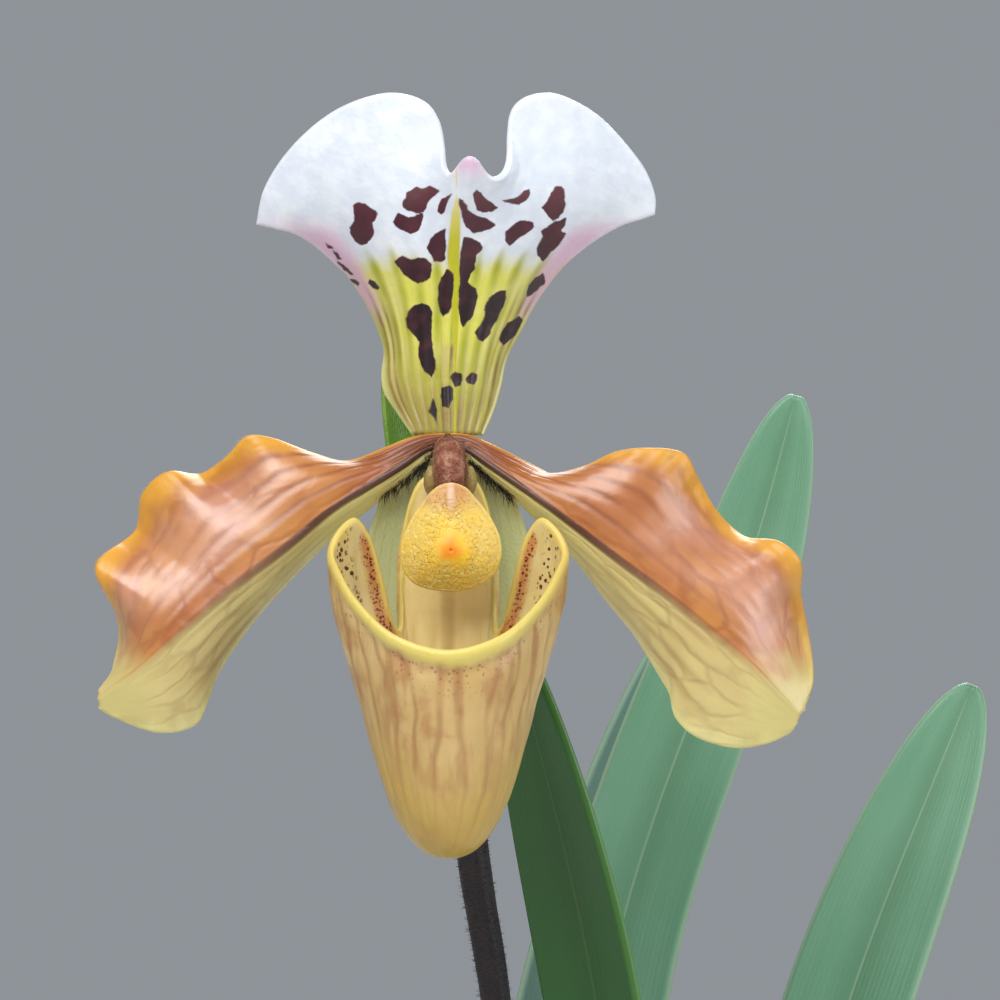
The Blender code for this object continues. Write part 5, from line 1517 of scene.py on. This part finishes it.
def make_bark(material):
    """A rough bed, and on it chips: boxes with rounded corners, sgn(c) |c|^p along each axis
    with p 0.45 across and 0.5 up, roughened by soft noise and turned every way."""
    turn = np.linspace(0, 2 * math.pi, 120, endpoint=False)[None, :]
    r = BED_RADIUS * np.linspace(0.02, 1, 60)[:, None]
    x, y = r * np.cos(turn), r * np.sin(turn)
    z = BARK_TOP - 1.2 + 0.9 * soft_noise(x / 4 + 20, y / 4 + 20, 61)
    foot = marks_of(x[-1:] * 0.745, y[-1:] * 0.745, 6.4)
    bed = np.concatenate([marks_of(x, y, z), foot])[::-1]
    use(closed_tube("bark_bed", bed, shade=np.zeros(bed.shape[:2])), material, "bark", "bark")

    rows, sides = 9, 14
    down = np.linspace(0.12, math.pi - 0.12, rows)[:, None]
    around = np.linspace(0, 2 * math.pi, sides, endpoint=False)[None, :]
    box = marks_of(
        np.sin(down) ** 0.4 * np.sign(np.cos(around)) * np.abs(np.cos(around)) ** 0.45,
        np.sin(down) ** 0.4 * np.sign(np.sin(around)) * np.abs(np.sin(around)) ** 0.45,
        np.sign(np.cos(down)) * np.abs(np.cos(down)) ** 0.5,
    )
    box = np.concatenate([box.reshape(-1, 3), [(0, 0, 1), (0, 0, -1)]])
    clear_of_crown = np.array(CROWN_HALF) + 5.0
    draw = np.random.default_rng(8)
    chips, shades = [], []
    for number in range(CHIP_DRAWS):
        out = 48.0 * math.sqrt(draw.uniform(0.02, 1.0))
        angle = draw.uniform(0, 2 * math.pi)
        size = np.array([draw.uniform(3.0, 7.2), draw.uniform(2.2, 4.8), draw.uniform(1.1, 2.4)])
        height = BARK_TOP + draw.uniform(-1.0, 1.3)
        middle = np.array([out * math.cos(angle), out * math.sin(angle), height])
        over_wall = out + size[0] * 0.8 > BED_RADIUS + 0.8
        if over_wall or math.hypot(*(middle[:2] / clear_of_crown)) < 1:
            continue
        rough = soft_noise(box[:, 0] * 2.1 + number, box[:, 1] * 2.1 + box[:, 2] * 1.7 + 9, 62)
        tilt = Vector((draw.normal(0, 0.22), draw.normal(0, 0.22), 1)).to_track_quat("Z", "Y")
        spin = Matrix.Rotation(draw.uniform(0, 2 * math.pi), 3, "Z")
        turned = np.array(tilt.to_matrix() @ spin)
        chips.append(box * size * (1 + 0.16 * rough)[:, None] @ turned.T + middle)
        shades.append(np.full(len(box), draw.uniform(0, 1)))
    starts = np.arange(len(chips))[:, None, None] * len(box)
    quads, tips = (faces[None] + starts for faces in closed_faces(rows, sides))
    chips, shades = np.concatenate(chips), np.concatenate(shades)
    obj = make_mesh("bark_chips", chips, quads.reshape(-1, 4), tips.reshape(-1, 3), shade=shades)
    use(obj, material, "bark")


def make_crown(material):
    """The short stem: an upright oval block with a rounded top edge and scars round it."""
    corners = [(0.0, 76.0), (1.0, 76.0), (1.0, CROWN_TOP), (0.0, CROWN_TOP)]
    profile = finer(rounded(corners, 0.8), 0.35)[1:-1]
    turn = np.linspace(0, 2 * math.pi, 120, endpoint=False)[None, :]
    r, z = profile[:, :1], profile[:, 1:]
    r = r + 0.012 * np.sin(z * 3.4) * (r > 0.9)
    grid = marks_of(CROWN_HALF[0] * r * np.cos(turn), CROWN_HALF[1] * r * np.sin(turn), z)
    use(closed_tube("crown", grid), material, "crown", "crown")


# Hairs of the flower

FRINGE_COUNT = 420
FRINGE_LENGTH = 0.55

def make_petal_hairs(black, maroon):
    """Black hairs that hang from the petals' lower edges near the column, and short maroon
    fuzz on the petals' feet and the column's stalk."""
    draw = np.random.default_rng(31)
    roots, tips = [], []
    for low, high, side in (((-8.4, -6.6), (-2.1, -2.5), -1), ((2.5, -2.4), (8.0, -6.9), 1)):
        for share in draw.beta(1.2, 1.2, 260):
            x = low[0] + (high[0] - low[0]) * share
            z = low[1] + (high[1] - low[1]) * share + draw.normal(0, 0.35)
            out = side * draw.uniform(-0.2, 0.9)
            lean = unit(np.array([out, -draw.uniform(0.2, 0.9), -draw.uniform(0.6, 1.2)]))
            roots.append((x, -1.0, z))
            tips.append(roots[-1] + lean * draw.uniform(1.2, 3.0))
    use(needles("petal_hairs", place(roots), place(tips), 0.05, -0.05), black, "petal")
    roots, tips = [], []
    for side in (-1, 1):
        for _ in range(420):
            x = side * draw.uniform(0.0, 3.4)
            z = 0.3 - 0.5 * abs(x) - draw.uniform(0.1, 2.4) * (1 - abs(x) / 6)
            out = side * draw.uniform(-0.2, 0.7)
            lean = unit(np.array([out, -draw.uniform(0.4, 1.1), -draw.uniform(0.1, 1.1)]))
            roots.append((x, -1.1, z))
            tips.append(roots[-1] + lean * draw.uniform(0.5, 1.1))
    use(needles("petal_fuzz", place(roots), place(tips), 0.045), maroon, "petal")


def make_fringe(name, curve, material, seed):
    """Fine short hairs that stand along an edge, pointing away from the flower's middle."""
    draw = np.random.default_rng(seed)
    root = read_curve(curve, np.sort(draw.uniform(0.02, 0.98, FRINGE_COUNT)))
    away = root - np.array([0.0, 0.0, -4.0])
    away[:, 1] = draw.uniform(-0.8, 0.8, FRINGE_COUNT) * 12
    tip = root + unit(away) * FRINGE_LENGTH * draw.uniform(0.5, 1.1, (FRINGE_COUNT, 1))
    use(needles(name, place(root), place(tip), 0.022), material, "petal")


# The whole plant

hair = dict(inner=0.0, depth=0.01)
dark_hair = plain_look("dark hair", (0.030, 0.012, 0.018), (0.06, 0.03, 0.03), **hair)
black_hair = plain_look("black hair", (0.012, 0.008, 0.010), (0.03, 0.012, 0.015), 0.45, **hair)
maroon_hair = plain_look("maroon hair", (0.075, 0.012, 0.012), (0.14, 0.03, 0.02), 0.6, **hair)
hair["inner"] = 0.1
pale_hair = plain_look("pale hair", (0.42, 0.36, 0.24), (0.55, 0.50, 0.36), **hair)
column_hair = plain_look("column fuzz", (0.30, 0.10, 0.05), (0.50, 0.25, 0.15), 0.6, **hair)
pollen = plain_look(
    "stigma and pollen", (0.36, 0.26, 0.075), (0.22, 0.12, 0.05), 0.4, 0.3, 0.8, 420.0, 2600.0, 0.08
)
scape = plain_look(
    "scape", (0.007, 0.003, 0.005), (0.026, 0.012, 0.014), 0.5, 0.0, 0.6, 300.0, 2600.0, 0.08
)
ovary = plain_look(
    "ovary", (0.14, 0.20, 0.05), (0.16, 0.05, 0.06), 0.5, 0.15, 0.9, 170.0, 2600.0, 0.08
)
crown = plain_look(
    "crown", (0.34, 0.36, 0.12), (0.22, 0.13, 0.07), 0.6, 0.1, 0.9, 130.0, 1600.0, 0.12
)
petal = petal_look()

make_dorsal(dorsal_look())
make_petal("petal_left", LEFT_PETAL, petal, 5)
make_petal("petal_right", RIGHT_PETAL, petal, 12)
make_lip(lip_look())
make_synsepal(synsepal_look())
make_staminode(staminode_look())
make_column(column_look(), pollen, column_hair)
make_petal_hairs(black_hair, maroon_hair)
make_fringe("left_petal_fringe", LEFT_PETAL["upper"][4:], pale_hair, 61)
make_fringe("right_petal_fringe", RIGHT_PETAL["upper"][4:], pale_hair, 62)
make_stem(scape, ovary, dark_hair, pale_hair)
make_bract(bract_look())
make_leaves()
make_crown(crown)
make_bark(bark_look())
make_pot(clay_look())


# Floor, light and camera

FLOOR_RADIUS = 1400.0


def add_object(name, data, where=(0, 0, 0), facing=None):
    """Puts a lamp or a camera in the scene, turned to look along facing."""
    obj = bpy.data.objects.new(name, data)
    obj.location = where
    obj.rotation_euler = Vector(facing).to_track_quat("-Z", "Y").to_euler()
    bpy.context.scene.collection.objects.link(obj)
    return obj


def make_floor():
    """A plain pale disc under the pot."""
    turn = np.linspace(0, 2 * math.pi, 96, endpoint=False)
    ring = FLOOR_RADIUS * marks_of(np.cos(turn), np.sin(turn), 0.0)
    floor = make_mesh("floor", ring, np.arange(96)[None])
    material, n, shader = new_material("floor", 0.75)
    n.set(shader.inputs["Base Color"], (0.72, 0.70, 0.67))
    floor.data.materials.append(material)


def add_light(name, where, aim, size, power, color):
    """A round soft light at a place in metres, aimed at another."""
    light = bpy.data.lights.new(name, "AREA")
    light.shape, light.size, light.energy, light.color = "DISK", size, power, color
    add_object(name, light, where, Vector(aim) - Vector(where))


def make_world():
    """An even, faintly blue light from all sides."""
    world = bpy.data.worlds.new("room")
    world.use_nodes = True
    background = world.node_tree.nodes["Background"]
    background.inputs["Color"].default_value = (0.86, 0.92, 1.0, 1.0)
    background.inputs["Strength"].default_value = 0.32
    bpy.context.scene.world = world


def make_camera():
    """The photo's view: straight from the front and 3 degrees above."""
    target = Vector((FLOWER + (VIEW_POINT[0], 0.0, VIEW_POINT[1])) * MM)
    away = Vector((0.0, -math.cos(VIEW_TILT), math.sin(VIEW_TILT))) * VIEW_DISTANCE * MM
    camera = bpy.data.cameras.new("camera")
    camera.angle = 2 * math.atan(VIEW_WIDTH / 2 / VIEW_DISTANCE)
    camera.clip_start, camera.clip_end = 0.01, 20.0
    bpy.context.scene.camera = add_object("camera", camera, target + away, -away)


make_floor()
make_world()
add_light("window light", (-0.25, -0.62, 0.98), (-0.01, -0.05, 0.30), 0.85, 9.5, (1.0, 0.99, 0.97))
add_light("side light", (0.80, -0.45, 0.50), (0.0, 0.0, 0.28), 0.60, 3.0, (0.95, 0.98, 1.0))
add_light("back light", (0.15, 0.70, 0.80), (0.0, 0.0, 0.28), 0.60, 5.0, (0.98, 1.0, 0.97))
bpy.context.scene.view_settings.view_transform = "Standard"
make_camera()
